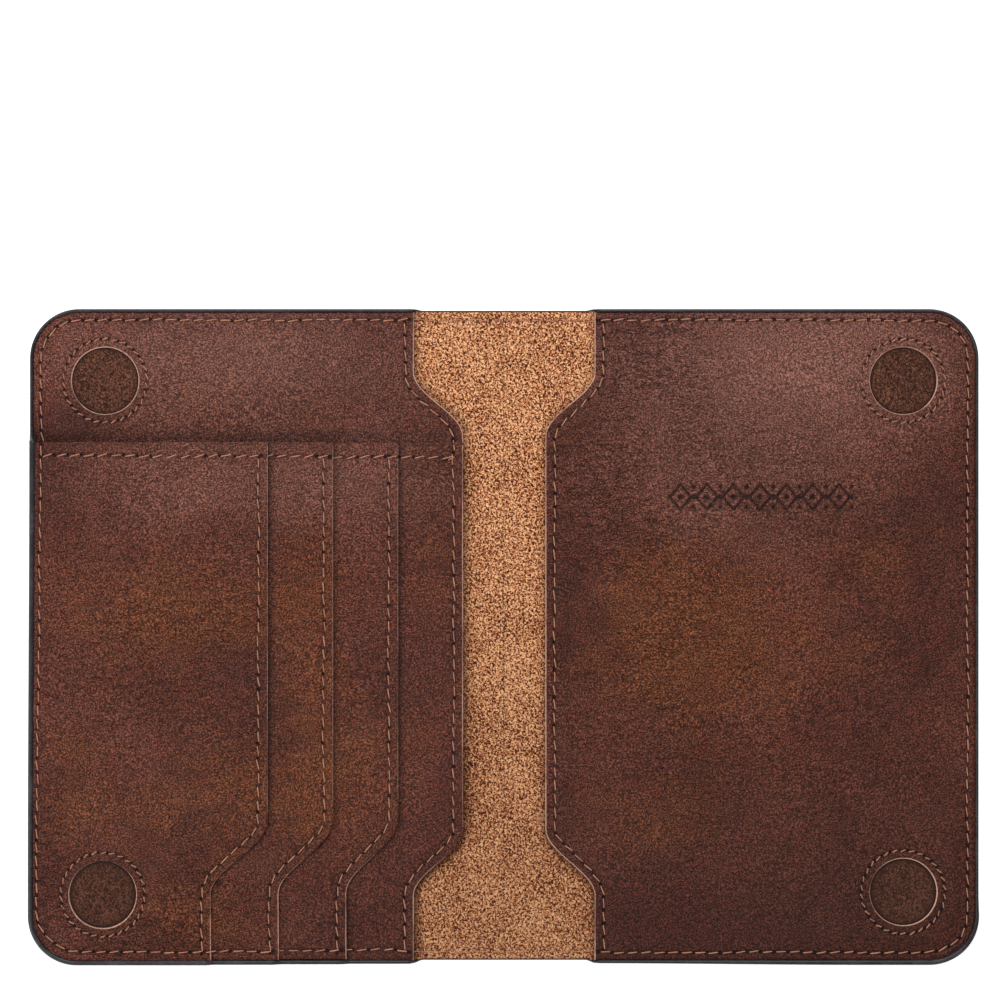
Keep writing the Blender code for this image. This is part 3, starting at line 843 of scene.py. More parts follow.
@dataclass(frozen=True)
class EdgePaint(Finish):
    """Built-up edge paint: a rubbery charcoal coat, slightly uneven and scuffed to grey."""

    name: str = "edge_paint"
    base: tuple = tint(34, 32, 36)
    scuffed: tuple = tint(84, 79, 83)
    relief: float = 0.00006
    steady = {"Specular IOR Level": 0.4}

    def looks(self, graph: Graph) -> tuple[Socket, Socket, Socket]:
        """Grey where slow brush marks and fine specks add up, glossier in the brush marks."""
        where = graph.place()
        brushed = graph.noise(where, 160.0, 4.0, 0.6)
        speck = graph.noise(where, 1400.0, 3.0, 0.6)
        worn = graph.plus(graph.times(brushed, 0.6), speck, 0.4)
        colour = graph.mix(graph.rise(worn, 0.42, 0.72, 0.0, 0.6), self.base, self.scuffed)
        return colour, graph.rise(brushed, 0.3, 0.7, 0.34, 0.5), graph.plus(brushed, speck, 0.3)


@dataclass(frozen=True)
class Thread(Finish):
    """Two-ply polyester thread: plies wound round each other, waxed and a little dusty."""

    name: str = "thread"
    pale: tuple = tint(238, 172, 138)
    dark: tuple = tint(160, 98, 72)
    plies: float = 2.0
    winding: float = 5.0
    relief: float = 0.00003
    steady = {"Specular IOR Level": 0.4}

    def looks(self, graph: Graph) -> tuple[Socket, Socket, Socket]:
        """A sine of the place along the stitch and round it makes the plies, with painted shade in their
        grooves.
        """
        lengths = graph.node("UVMap", uv_map="turns").outputs[0]
        parts = graph.node("SeparateXYZ", {0: lengths}).outputs
        wound = graph.plus(graph.times(parts[0], self.winding), parts[1])
        wave = graph.math("SINE", graph.times(wound, 2 * math.pi * self.plies))
        dust = graph.noise(graph.place(), 500.0, 3.0)
        tone = graph.mix(graph.rise(dust, 0.3, 0.7, 0.0, 0.5), self.pale, self.dark)
        # Painted shade in the grooves between the plies.
        tone = graph.stain(tone, self.dark, graph.rise(wave, -1.0, 0.2, 1.0, 0.0), 0.6)
        return tone, graph.rise(dust, 0.2, 0.8, 0.5, 0.75), wave


@dataclass(frozen=True)
class NickelPlate(Finish):
    """Nickel plating of the magnets, dulled by handling."""

    name: str = "magnet_nickel"
    bright: tuple = tint(200, 198, 192)
    dull: tuple = tint(140, 136, 130)
    relief: float = 0.00002
    steady = {"Metallic": 1.0}

    def looks(self, graph: Graph) -> tuple[Socket, Socket, Socket]:
        """Bright and dull by one smeared noise."""
        smear = graph.noise(graph.place(), 300.0, 4.0, 0.6)
        colour = graph.mix(graph.rise(smear, 0.3, 0.7), self.bright, self.dull)
        return colour, graph.rise(smear, 0.3, 0.7, 0.22, 0.42), smear


class Finishes:
    """The holder's materials, each made once."""

    def __init__(self) -> None:
        """Makes the materials."""
        self.suede = BrushedSuede().build()
        self.hide = GrainLeather().build()
        self.raw = CutFibre().build()
        self.paint = EdgePaint().build()
        self.thread = Thread().build()
        self.cap = BrushedSuede("magnet_suede", tint(122, 76, 58), tint(84, 49, 37), tint(46, 26, 18),
                                nap_scale=2700.0, relief=0.00012).build()
        self.nickel = NickelPlate().build()


# ---- The leather sheets ---------------------------------------------------------------------------
@dataclass(frozen=True)
class Window:
    """Round hole in a sheet."""

    centre: tuple[float, float]
    radius: float
    ringed: bool = True


@dataclass(frozen=True)
class Blot:
    """A soft round patch on the leather of one half, used for tone, creasing and painted light, as strength
    at a centre with two radii.
    """

    x: float
    y: float
    wide: float
    high: float
    strength: float

    def at(self, x: Array, y: Array) -> Array:
        """Strength at points: a bell curve of the distance measured in the two radii."""
        return self.strength * np.exp(-(((x - self.x) / self.wide) ** 2) - ((y - self.y) / self.high) ** 2)


@dataclass(frozen=True)
class Patina:
    """Where the leather of one half is pulled warm or creased, where painted sheen lightens it and where
    painted shade and shadow darken it.
    """

    # warm: pulled-up tone; pale: painted sheen; dark: painted shade and shadow; creased: creases.
    warm: tuple[Blot, ...]
    pale: tuple[Blot, ...]
    dark: tuple[Blot, ...]
    creased: tuple[Blot, ...]

    @staticmethod
    def in_mm(**stains: tuple[tuple[float, ...], ...]) -> "Patina":
        """Tones, painted light and creases from rows of a middle, two radii in millimetres and a strength, by
        kind.
        """
        return Patina(**{
            kind: tuple(Blot(*(value * MM for value in row[:4]), row[4]) for row in rows)
            for kind, rows in stains.items()
        })

    @staticmethod
    def total(blots: tuple[Blot, ...], x: Array, y: Array) -> Array:
        """Sum of some blots at points."""
        return sum((blot.at(x, y) for blot in blots), np.zeros(len(x)))

    def values(self, x: Array, y: Array) -> dict[str, Array]:
        """Mesh values at points, apart from the painted shade."""
        kinds = {"warmth": self.warm, "paling": self.pale, "creasing": self.creased}
        return {name: self.total(blots, x, y) for name, blots in kinds.items()}


@dataclass(frozen=True)
class Swell:
    """Gentle unevenness that all sheets of one half share: a sum of long waves."""

    seed: int
    height: float = 0.16 * MM
    waves: int = 7

    def at(self, x: Array, y: Array, calm: Array) -> Array:
        """Height at points: each wave is a sine along its own direction, damped where it is calm."""
        draw = np.random.default_rng(self.seed)
        turn = draw.uniform(0.0, math.pi, self.waves)
        length = draw.uniform(24 * MM, 60 * MM, self.waves)
        phase = draw.uniform(0.0, 2 * math.pi, self.waves)
        along = np.outer(x, np.cos(turn)) + np.outer(y, np.sin(turn))
        total = np.sin(2 * math.pi * along / length + phase).sum(axis=1)
        return self.height * total / math.sqrt(self.waves) * calm


@dataclass(frozen=True)
class Stamp:
    """Blind-stamped border of lozenges and dots."""

    x: float = 56.6 * MM
    y: float = 30.8 * MM
    length: float = 41.0 * MM
    height: float = 5.6 * MM
    repeats: int = 7
    stroke: float = 0.3 * MM
    depth: float = 0.36 * MM
    dot: float = 0.35 * MM
    tip: float = 0.2 * MM
    margin: float = 0.5 * MM
    fine: float = 0.25 * MM
    fine_x: tuple[float, float] = (35.6 * MM, 77.6 * MM)

    @property
    def pitch(self) -> float:
        """Length of one repeat."""
        return self.length / self.repeats

    @property
    def fine_y(self) -> tuple[float, float]:
        """Stretch of y that the stamp and its margin take."""
        return self.y - self.height / 2 - self.margin, self.y + self.height / 2 + self.margin

    def pressed(self, x: Array, y: Array) -> Array:
        """Share of the full depth at points.

        A lozenge is where the two reaches, each over its half diagonal, add up to one. Dots stand in the
        lozenges and between them, and smaller ones above and below the gaps.
        """
        along = x - self.x + self.length / 2
        across = y - self.y
        inside = (along >= 0) & (along <= self.length)
        u = np.mod(along, self.pitch) - self.pitch / 2
        half_u = self.pitch * 0.40
        half_v = self.height / 2
        rim = np.abs(np.abs(u) / half_u + np.abs(across) / half_v - 1) / math.hypot(1 / half_u, 1 / half_v)
        dots = np.minimum(np.hypot(u, across), np.hypot(self.pitch / 2 - np.abs(u), across)) - self.dot
        tips = np.hypot(self.pitch / 2 - np.abs(u), np.abs(across) - half_v * 0.8) - self.tip
        nearest = np.minimum(np.minimum(rim, np.maximum(dots, 0.0)), np.maximum(tips, 0.0))
        return np.where(inside, 1 - smooth(nearest / self.stroke - 0.4), 0.0)


# Growth in millimetres of the grid's rings round a window: at its rim, and on along its ring of stitches.
RIM_RINGS = [0.0, 0.04, 0.1, 0.18, 0.27, 0.5]
SEAM_RINGS = [0.9, 1.25, 1.5, 1.65, 1.8, 1.9, 2.0, 2.15, 2.3, 2.6, 3.0]
# Side of a window's rim where its raw-cut line is painted brighter as lit, and fainter as shaded opposite:
# its share towards the outer edge, and the signs of its upward share on a low and on a high window.
LIT_RIM = {Half.LEFT: (-0.3, (-1.0, 1.0)), Half.RIGHT: (0.6, (1.0, 1.0))}


@dataclass
class LeatherSheet:
    """One leather sheet of a half, sewn down along its outer edge and free towards the spine."""

    node: str
    half: Half
    outline: Outline
    thickness: float
    foot: float
    lower_step: tuple[float, float]
    swell: Swell
    patina: Patina
    rows: list[StitchRow] = field(default_factory=list)
    windows: list[Window] = field(default_factory=list)
    calm_spots: list[tuple[float, float]] = field(default_factory=list)
    stamp: Stamp | None = None
    above: "LeatherSheet | None" = None
    raw_upper: float = 1.0
    raw_foot: float = 1.0
    upper_step: tuple[float, float] = (28.2 * MM, 14.0 * MM)
    inset: float = 0.8 * MM
    land: float = 2.9 * MM
    loft_reach: float = 6.9 * MM
    slow_reach: float = 20.0 * MM
    sag: float = 0.72
    rounding: float = 0.26 * MM
    near: float = 4.0 * MM
    coarse: float = 1.7 * MM
    raw_reach: float = 0.3 * MM
    holding: float = 10.8 * MM
    rim_fall: float = 0.4 * MM
    groove: float = 0.10 * MM
    hollow: float = 0.11 * MM

    def __post_init__(self) -> None:
        """Reads the sheet's levels and free edge from its CAD solid."""
        low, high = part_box(self.node)
        self.level = low.z
        self.lift = high.z - low.z - self.thickness
        self.top = high.y
        self.full = self.top > self.outline.half_height - 2 * MM
        edge = low.x if self.half is Half.RIGHT else -high.x
        upper = self.upper_step if self.full else None
        self.mouth = Mouth(edge, self.foot, self.outline.half_height, upper, self.lower_step)
        self.mouth_line = self.mouth.line(-self.outline.half_height, self.top)

    def free_distance(self, x: Array, y: Array) -> Array:
        """Distance to the nearest cut edge: free edge, upper edge of a block sheet, or a window."""
        gap, _ = self.mouth_line.nearest(np.column_stack([x, y]), 12 * MM)
        if not self.full:
            gap = np.minimum(gap, np.maximum(self.top - y, 0.0))
        for window in self.windows:
            away = np.hypot(x - window.centre[0], y - window.centre[1])
            gap = np.minimum(gap, np.maximum(away - window.radius, 0.0))
        return gap

    def cut_line(self, x: Array, y: Array, free: Array) -> Array:
        """Distance that the raw-cut line is drawn from.

        It is the free distance, put off where the edge is stained. Round a window the line is painted light:
        brighter on the side taken as lit and fainter on the side taken as shaded.
        """
        raw = self.raw_upper + (self.raw_foot - self.raw_upper) * smooth((-38 * MM - y) / (10 * MM))
        sideways, signs = LIT_RIM[self.half]
        for window in self.windows:
            off_x, off_y = x - window.centre[0], y - window.centre[1]
            away = np.hypot(off_x, off_y)
            # Painted light: the rim's raw line is brighter on the side taken as lit.
            facing = (0.7 * off_y * signs[int(window.centre[1] > 0)] + sideways * off_x) / away
            raw = np.where(away < window.radius + 2 * MM, 1.0 + 0.2 * facing, raw)
        if not self.full:
            raw = raw - 0.6 * bell(y + 45 * MM, 6 * MM)
            raw = np.where(self.top - y < 0.5 * MM, 0.35, raw)
        return free + (1 - raw) * self.raw_reach

    def stitch_values(self, x: Array, y: Array) -> tuple[Array, Array]:
        """Distance to the nearest row of stitches, and a wave that peaks at its needle holes."""
        spots = np.column_stack([x, y])
        gap = np.full(len(x), 6 * MM)
        wave = np.full(len(x), -1.0)
        for row in self.rows:
            row_gap, travel = row.line.nearest(spots, 4 * MM)
            closer = row_gap < gap
            gap = np.where(closer, row_gap, gap)
            wave = np.where(closer, np.cos(2 * math.pi * travel / row.step), wave)
        return gap, wave

    def base_height(self, x: Array, y: Array) -> Array:
        """Underside of the sheet: its level, its lift inside the outer seam, and the shared swell.

        The lift rises quickly round the magnets, which hold the sheet up, and slowly elsewhere.
        """
        edge = self.outline.edge_distance(x, y)
        quick = smooth((edge - self.land) / (self.loft_reach - self.land))
        slow = self.sag * smooth((edge - self.land) / (self.slow_reach - self.land))
        calm = smooth((edge - 5 * MM) / (9 * MM))
        held = np.zeros_like(edge)
        for spot in self.calm_spots:
            away = np.hypot(x - spot[0], y - spot[1])
            calm = calm * smooth((away - 10.5 * MM) / (6 * MM))
            held = np.maximum(held, 1 - smooth((away - self.holding) / (13 * MM)))
        lift = self.lift * (slow + (quick - slow) * held)
        return self.level + lift + self.swell.at(x * self.half.value, y, calm)

    def top_height(self, x: Array, y: Array, free: Array | None = None, gap: Array | None = None) -> Array:
        """Face of the sheet.

        The underside plus the thickness, less a quarter round at cut edges, a roll at the painted edge,
        a groove and a wider hollow along the stitches, and the stamp.

        Args:
            x: x of the points, on the right-hand side.
            y: y of the points.
            free: Distances to the cut edges, if they are known.
            gap: Distances to the stitches, if they are known.

        Returns:
            The heights.
        """
        free = self.free_distance(x, y) if free is None else free
        gap = self.stitch_values(x, y)[0] if gap is None else gap
        rounding = min(self.rounding, self.thickness * 0.45)
        within = np.clip(1 - free / rounding, 0.0, 1.0)
        height = self.base_height(x, y) + self.thickness
        height = height - rounding * (1 - np.sqrt(1 - within**2))
        rim = np.clip(1 - (self.outline.edge_distance(x, y) - self.inset) / (1.0 * MM), 0.0, 1.0)
        height = height - self.rim_fall * rim**2
        height = height - self.groove * bell(gap, 0.32 * MM) - self.hollow * bell(gap, 1.3 * MM)
        if self.stamp:
            height = height - self.stamp.depth * self.stamp.pressed(x, y)
        return height

    def columns(self) -> tuple[Array, Array]:
        """Grid columns: the knots between which they stretch, and the columns at full width."""
        edge = self.outline.half_width - self.inset
        start = self.mouth.edge
        knots = np.array([start, start + self.near, self.foot + 6 * MM, 80 * MM, edge - 5 * MM, edge])
        steps = in_mm(start, (0.04, 0.04), (0.1, 0.06), (0.27, 0.09), (0.5, 0.23), (1.5, 0.25), (2.6, 0.16),
                      (4.0, 0.5))
        if self.stamp:
            low, high = self.stamp.fine_x
            steps += [(low, self.coarse), (high, self.stamp.fine)]
        else:
            steps += [(75.5 * MM, self.coarse)]
        steps += in_mm(edge, (-5.0, 0.75), (-2.4, 0.4), (-1.0, 0.17), (-0.1, 0.2), (0.0, 0.05))
        return knots, ladder(start, steps)

    def heights(self) -> Array:
        """Grid rows, close together near the ends, in the steps of the free edge and at the magnets."""
        end = self.outline.half_height - self.inset
        rim = in_mm(-end, (0.02, 0.02), (0.12, 0.05), (0.6, 0.12), (1.2, 0.2), (2.4, 0.15), (5.0, 0.45))
        lower = ladder(-end, rim)
        steps = in_mm(-end, (29.5, 0.75))
        if self.stamp:
            low, high = self.stamp.fine_y
            steps += [(low, self.coarse), (high, self.stamp.fine)]
        if self.full:
            steps += [(end - 29.0 * MM, self.coarse), (end - 5 * MM, 0.75 * MM)]
            return np.concatenate([lower, ladder(lower[-1], steps)[1:], -lower[::-1][1:]])
        steps += [(self.top - 4.0 * MM, self.coarse)]
        steps += in_mm(self.top, (-3.4, 0.3), (-2.2, 0.16), (-0.6, 0.4), (-0.27, 0.17), (-0.04, 0.08),
                       (0.0, 0.04))
        return np.concatenate([lower, ladder(lower[-1], steps)[1:]])

    def layer(self) -> Layer:
        """Lays the grid over the sheet.

        Each row runs from the free edge to the outer edge. Columns near either edge keep their distance
        from it, those in the middle stay where they are, and the rest stretch between.
        """
        knots, columns = self.columns()
        y = self.heights()
        mouth = self.mouth.x(y)
        lean = np.hypot(1.0, np.gradient(mouth, y))
        edge = self.outline.outer_x(y, self.inset)
        fixed = np.ones_like(y)
        places = [mouth, mouth + self.near * lean, knots[2] * fixed, knots[3] * fixed, edge - 5 * MM, edge]
        x = np.repeat(places[0][:, None], len(columns), axis=1)
        for first, here, there in zip(range(5), places, places[1:]):
            share = np.clip((columns - knots[first]) / (knots[first + 1] - knots[first]), 0.0, 1.0)
            x = x + (there - here)[:, None] * share[None, :]
        made = Layer(x, np.repeat(y[:, None], len(columns), axis=1))
        for window in self.windows:
            reach = window.radius + (3.5 if window.ringed else 1.2) * MM
            offsets = RIM_RINGS + SEAM_RINGS if window.ringed else RIM_RINGS
            made.let_in(np.array(window.centre), window.radius, reach, np.array(offsets) * MM)
        return made

    def build(self, face: bpy.types.Material, raw: bpy.types.Material) -> bpy.types.Object:
        """Makes the sheet.

        Args:
            face: Finish of the grain side.
            raw: Finish of the underside and the cut edges.

        Returns:
            The piece, riding on its half.
        """
        flat, cells, borders = self.layer().finish()
        x, y = flat.T
        free = self.free_distance(x, y)
        gap, wave = self.stitch_values(x, y)
        top = self.top_height(x, y, free, gap)
        bottom = np.minimum(self.base_height(x, y), top - 0.25 * self.thickness)
        points = np.concatenate([np.column_stack([flat, top]), np.column_stack([flat, bottom])])
        signed = x * self.half.value
        # Painted shade: the dark blots, a painted shadow beside the rows of stitches where the pressed
        # leather lies, and a painted shadow beside the free edge of the sheet above. The stamp's strokes are
        # darkened through the same values.
        shade = Patina.total(self.patina.dark, signed, y) + 0.62 * bell(gap, 0.42 * MM)
        if self.above:
            shade = shade + 0.8 * bell(self.above.mouth_line.nearest(flat, 4 * MM)[0], 0.45 * MM)
        if self.stamp:
            shade = shade + 1.05 * self.stamp.pressed(x, y)
        values = self.patina.values(signed, y) | {
            "cut_edge": self.cut_line(x, y, free), "stitch_gap": gap, "stitch_wave": wave, "shade": shade,
        }
        values = {name: np.concatenate([value, value]) for name, value in values.items()}
        plate = Plate(f"{self.node}_hide", points, shell(cells, borders, len(flat)), [0, 1, 1], values)
        piece = plate.build(self.half, [face, raw])
        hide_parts(self.node)
        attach(piece, self.half.body)
        return piece


# ---- Stitches -------------------------------------------------------------------------------------
@dataclass
class Stitching:
    """Thread of one row of stitches, each a short rounded bar whose ends dive into needle holes."""

    name: str
    half: Half
    row: StitchRow
    surface: Callable[[Array, Array], Array]
    seed: int
    gap: float = 0.42 * MM
    sides: int = 6
    rings: int = 7
    facing: int = 1
    lift: float = 0.09 * MM
    dive: float = 0.24 * MM
    flatness: float = 0.8
    unevenness: float = 0.045

    def profile(self) -> tuple[Array, Array, Array]:
        """Rings of one stitch: place along it, thickness there, and height of its middle.

        The thickness falls with the sixth power of the place, and the ends dip with its fourth.
        """
        along = np.sin(np.linspace(-1.0, 1.0, self.rings) * math.pi / 2)
        thick = np.sqrt(np.clip(1.02 - along**6, 0.02, 1.0))
        return along, thick, 1 - along**4

    def build(self, thread: bpy.types.Material) -> bpy.types.Object:
        """Makes the row: one stitch's grid of rings carried to every place along the line.

        Args:
            thread: Finish of the thread.

        Returns:
            The piece, not yet riding on a body.
        """
        draw = np.random.default_rng(self.seed)
        row, count = self.row, self.row.count
        middles = (np.arange(count) + 0.5) * row.step + draw.normal(0.0, 0.05 * MM, count)
        reach = (row.step - self.gap) / 2 * draw.uniform(0.92, 1.04, count)
        start = row.line.at(middles - reach)
        end = row.line.at(middles + reach)
        along = (end - start) / 2
        middle = (start + end) / 2
        lean = (row.slant * self.half.value + draw.normal(0.0, self.unevenness, count))[:, None]
        along = along * np.cos(lean) + left_of(along) * np.sin(lean)
        middle = middle + draw.normal(0.0, self.unevenness * MM, (count, 2))
        across = unit(left_of(along))
        place, thick, arch = self.profile()
        turn = circle(self.sides)
        half_width = row.width / 2 * draw.uniform(0.9, 1.1, count)
        flat = middle[:, None] + along[:, None] * place[None, :, None]
        ground = self.surface(flat[..., 0].ravel(), flat[..., 1].ravel()).reshape(count, self.rings)
        ground = ground[:, self.rings // 2][:, None] * 0.5 + ground * 0.5
        rise = ground + self.facing * ((arch[None] - 1) * self.dive + self.lift)
        radius = half_width[:, None, None] * thick[None, :, None]
        sideways = radius * np.cos(turn)
        upward = radius * np.sin(turn) * self.flatness
        points = np.empty((count, self.rings, self.sides, 3))
        points[..., :2] = flat[:, :, None] + across[:, None, None] * sideways[..., None]
        points[..., 2] = rise[:, :, None] + upward
        size = self.rings * self.sides
        ring_index = np.arange(size).reshape(self.rings, self.sides)
        starts = (np.arange(count) * size)[:, None, None]
        faces = (strips(ring_index, closed=True)[None] + starts).reshape(-1, 4)
        caps = (np.stack([ring_index[0][::-1], ring_index[-1]])[None] + starts).reshape(-1, self.sides)
        lengths = np.broadcast_to(place[:, None], (self.rings, self.sides))
        rounds = np.broadcast_to(turn[None] / (2 * math.pi), (self.rings, self.sides))
        turns = np.tile(np.column_stack([lengths.ravel(), rounds.ravel()]), (count, 1))
        plate = Plate(self.name, points.reshape(-1, 3), [faces, caps], turns=turns)
        piece = plate.build(self.half, [thread])
        return piece


# ---- The outer cover ------------------------------------------------------------------------------
@dataclass
class Cover:
    """Half of the outer cover from the spine's middle outwards: suede inside, grain leather outside."""

    half: Half
    outline: Outline
    thickness: float
    row: StitchRow
    free_edge: Line
    inset: float = 0.22 * MM
    channel: float = 0.16 * MM
    still: float = 80 * MM
    draw_in: float = 8 * MM

    def underside(self, x: Array, y: Array, gap: Array | None = None) -> Array:
        """Height of the outside face: a rounded rim and a pressed channel along the stitches."""
        if gap is None:
            gap, _ = self.row.line.nearest(np.column_stack([x, y]), 4 * MM)
        return self.channel * bell(gap, 0.5 * MM) + 0.4 * MM * self.rim(x, y, 1.2 * MM)

    def upper_side(self, x: Array, y: Array) -> Array:
        """Height of the suede face: the thickness less a rounded rim."""
        return self.thickness - 0.18 * MM * self.rim(x, y, 0.6 * MM)

    def rim(self, x: Array, y: Array, width: float) -> Array:
        """Square of how far a point lies into the rim, from 0 at its inner side to 1 at the edge."""
        return np.clip(1 - (self.outline.edge_distance(x, y) - self.inset) / width, 0.0, 1.0) ** 2

    def build(self, suede: bpy.types.Material, hide: bpy.types.Material) -> bpy.types.Object:
        """Makes the shell from one grid seen twice.

        Args:
            suede: Finish of the inside.
            hide: Finish of the outside.

        Returns:
            The piece, tied to no body.
        """
        out = self.outline
        end = out.half_height - self.inset
        rim = in_mm(-end, (0.02, 0.02), (0.12, 0.05), (0.6, 0.12), (1.6, 0.3), (3.2, 0.2), (6.0, 0.7))
        lower = ladder(-end, rim)
        y = np.concatenate([lower, ladder(lower[-1], [(-lower[-1], 1.8 * MM)])[1:], -lower[::-1][1:]])
        edge = out.outer_x(y, self.inset)
        width = out.half_width - self.inset
        columns = ladder(0.0, in_mm(0.0, (9.5, 0.5), (20.0, 1.0)) + in_mm(
            width, (-6.0, 1.8), (-3.2, 0.7), (-1.6, 0.2), (-0.1, 0.25), (0.0, 0.05)))
        fixed = np.clip(columns / self.still, 0.0, 1.0) * self.still
        beyond = np.clip((columns - self.still) / (width - self.still), 0.0, 1.0)
        x = fixed[None] + (edge - self.still)[:, None] * beyond[None]
        y = np.repeat(y[:, None], len(columns), axis=1)
        drawn = y - np.sign(y) * out.dip(x, y) * smooth((np.abs(y) - end + self.draw_in) / self.draw_in)
        flat, cells, borders = Layer(x, y).finish()
        x, y = flat.T
        gap, travel = self.row.line.nearest(flat, 4 * MM)
        drawn = drawn.ravel()
        top = np.column_stack([x, drawn, self.upper_side(x, y)])
        bottom = np.column_stack([x, drawn, self.underside(x, y, gap)])
        # Painted shade on the suede: a painted shadow beside the lowest sheet's free edge, stronger on the
        # left, and darker towards the bottom; on the outside, painted shade in the pressed channel along the
        # stitches.
        beside, _ = self.free_edge.nearest(flat, 12 * MM)
        strength = 0.62 if self.half is Half.LEFT else 0.45
        painted_shade = strength * bell(beside, 1.1 * MM) + 0.42 * smooth((46 * MM - y) / (118 * MM))
        worn = Blot(0.0, 0.0, 9 * MM, 60 * MM, 0.5).at(x * self.half.value, y)
        zero = np.zeros(len(x))
        wave = np.cos(2 * math.pi * travel / self.row.step)
        sides = {
            "stitch_gap": (gap, gap), "stitch_wave": (wave, wave), "cut_edge": (zero + 1.0, zero + 1.0),
            "shade": (painted_shade, 0.3 * bell(gap, 0.6 * MM)), "warmth": (zero, worn + 0.3),
            "paling": (zero, 0.25 * worn), "creasing": (zero, worn),
        }
        values = {name: np.concatenate(pair) for name, pair in sides.items()}
        faces = shell(cells, borders, len(flat))
        plate = Plate(f"cover_{self.half.word}", np.concatenate([top, bottom]), faces, [0, 1, 1], values)
        piece = plate.build(self.half, [suede, hide])
        return piece


@dataclass
class PaintedEdge:
    """Edge paint round one half, as high and as wide as the stack of sheets that it seals."""

    half: Half
    outline: Outline
    sheets: list[LeatherSheet]
    cover: float
    sides: int = 16
    squareness: float = 0.62
    lean: float = 0.45 * MM
    bulge: float = 0.4 * MM
    floor_gap: float = 0.1 * MM

    def stack(self, x: Array, y: Array) -> Array:
        """Height of the stack of leather at the edge: the uppermost sheet that reaches each point."""
        height = np.full(len(x), self.cover)
        for sheet in self.sheets:
            here = (x >= sheet.mouth.x(y)) & (y <= sheet.top + 0.9 * MM)
            height = np.where(here, np.maximum(height, sheet.level + sheet.thickness), height)
        return height

    def build(self, paint: bpy.types.Material) -> bpy.types.Object:
        """Carries a squared oval along the outline.

        Its width and height follow the stack through a short moving average, so the steps are soft. On
        the block of pockets it leans in, most at the top, and the right half's lower corner bulges.

        Args:
            paint: Finish of the edge.

        Returns:
            The piece, tied to no body.
        """
        line = Line.through(self.outline.path(0.0).points, 0.35 * MM)
        x, y = line.points.T
        inner = self.outline.path(0.8 * MM)
        share = line.runs / line.length * inner.length
        height = self.stack(*inner.at(share).T)
        kernel = np.ones(5) / 5
        height = np.convolve(np.pad(height, 2, mode="edge"), kernel, mode="valid")
        width = np.interp(height, [1.2 * MM, 2.3 * MM, 5.6 * MM], [0.34 * MM, 0.82 * MM, 1.55 * MM])
        thick = smooth((height - 2.4 * MM) / (3.0 * MM))
        foot = smooth((40 * MM - y) / (90 * MM))
        bulge = self.bulge * smooth((-56 * MM - y) / (14 * MM)) * smooth((x - 20 * MM) / (60 * MM))
        bulge = bulge if self.half is Half.RIGHT else 0.0 * bulge
        width = width * (1 - 0.08 * thick * foot) + bulge
        turn = circle(self.sides) + math.pi / self.sides
        waves = (np.cos(turn), np.sin(turn))
        swing, climb = (np.sign(wave) * np.abs(wave) ** self.squareness for wave in waves)
        swing, climb = swing / swing.max(), (1 + climb / climb.max()) / 2
        high = height + 0.04 * MM + 0.24 * MM * thick * (1 - foot)
        lean = self.lean * thick * (1 - 0.9 * foot)
        away = (self.outline.dip(x, y) - bulge)[:, None] + width[:, None] * (1 - swing) / 2
        away = away + lean[:, None] * climb
        points = np.empty((len(x), self.sides, 3))
        points[..., :2] = line.points[:, None] + left_of(line.headings)[:, None] * away[..., None]
        points[..., 2] = self.floor_gap + (high - self.floor_gap)[:, None] * climb
        index = np.arange(points.shape[0] * self.sides).reshape(-1, self.sides)
        caps = np.stack([index[0][::-1], index[-1]])
        faces = [strips(index, closed=True), caps]
        plate = Plate(f"edge_bead_{self.half.word}", points.reshape(-1, 3), faces)
        piece = plate.build(self.half, [paint])
        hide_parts(f"painted_edge_{self.half.word}")
        return piece


# ---- Magnets --------------------------------------------------------------------------------------
@dataclass
class MagnetCap:
    """Round suede disc that closes a magnet's window."""

    place: str
    half: Half
    rings: int = 18
    spokes: int = 72
    overlap: float = 0.12 * MM
    crown: float = 0.12 * MM
    fall: float = 0.14 * MM

    def build(self, suede: bpy.types.Material) -> bpy.types.Object:
        """Makes the disc: rings about its middle, crowned by a shallow bowl turned over.

        Args:
            suede: Finish of the disc.

        Returns:
            The piece, riding on its half.
        """
        node = f"magnet_disc_{self.place}"
        low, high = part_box(node)
        centre = (low + high) / 2
        radius = (high.x - low.x) / 2 + self.overlap
        share = np.sin(np.linspace(0.0, 1.0, self.rings) * math.pi / 2)[1:]
        turn = circle(self.spokes)
        x = centre.x + radius * np.outer(share, np.cos(turn))
        y = centre.y + radius * np.outer(share, np.sin(turn))
        crown = high.z + self.crown * (1 - share**2) - self.fall * share**12
        z = np.repeat(crown[:, None], self.spokes, axis=1)
        upper = np.stack([x, y, z], axis=-1).reshape(-1, 3)
        lower = upper.copy()
        lower[:, 2] = low.z
        middle = [[centre.x, centre.y, high.z + self.crown], [centre.x, centre.y, low.z]]
        points = np.concatenate([upper, lower, middle])
        index = np.arange(len(upper)).reshape(-1, self.spokes)
        count = len(upper)
        rim = np.vstack([index[-1], index[-1] + count])
        top_middle = np.full(self.spokes, 2 * count)
        fan = np.column_stack([top_middle, index[0], np.roll(index[0], -1)])
        under = np.column_stack([top_middle + 1, np.roll(index[0], -1) + count, index[0] + count])
        # Painted shade on the disc: the half's dark blots at its middle, and a painted shadow round its rim
        # where it lies down in its window.
        painted_shade = Patina.total(PATINA_AND_PAINTED_LIGHT[self.half].dark, np.array([centre.x]), np.array([centre.y]))[0]
        flat = strips(index, closed=True)
        faces = [flat[:, ::-1], flat + count, strips(rim, closed=True)[:, ::-1], fan, under]
        values = {
            "stitch_gap": np.full(len(points), 1.0), "stitch_wave": np.full(len(points), -1.0),
            "shade": painted_shade + np.concatenate([np.repeat(1.3 * share**14, self.spokes)] * 2 + [np.zeros(2)]),
        }
        plate = Plate(f"suede_cap_{self.place}", points, faces, values=values)
        plate.points[:, 0] *= self.half.value
        piece = plate.build(self.half, [suede])
        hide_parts(node)
        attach(piece, self.half.body)
        return piece


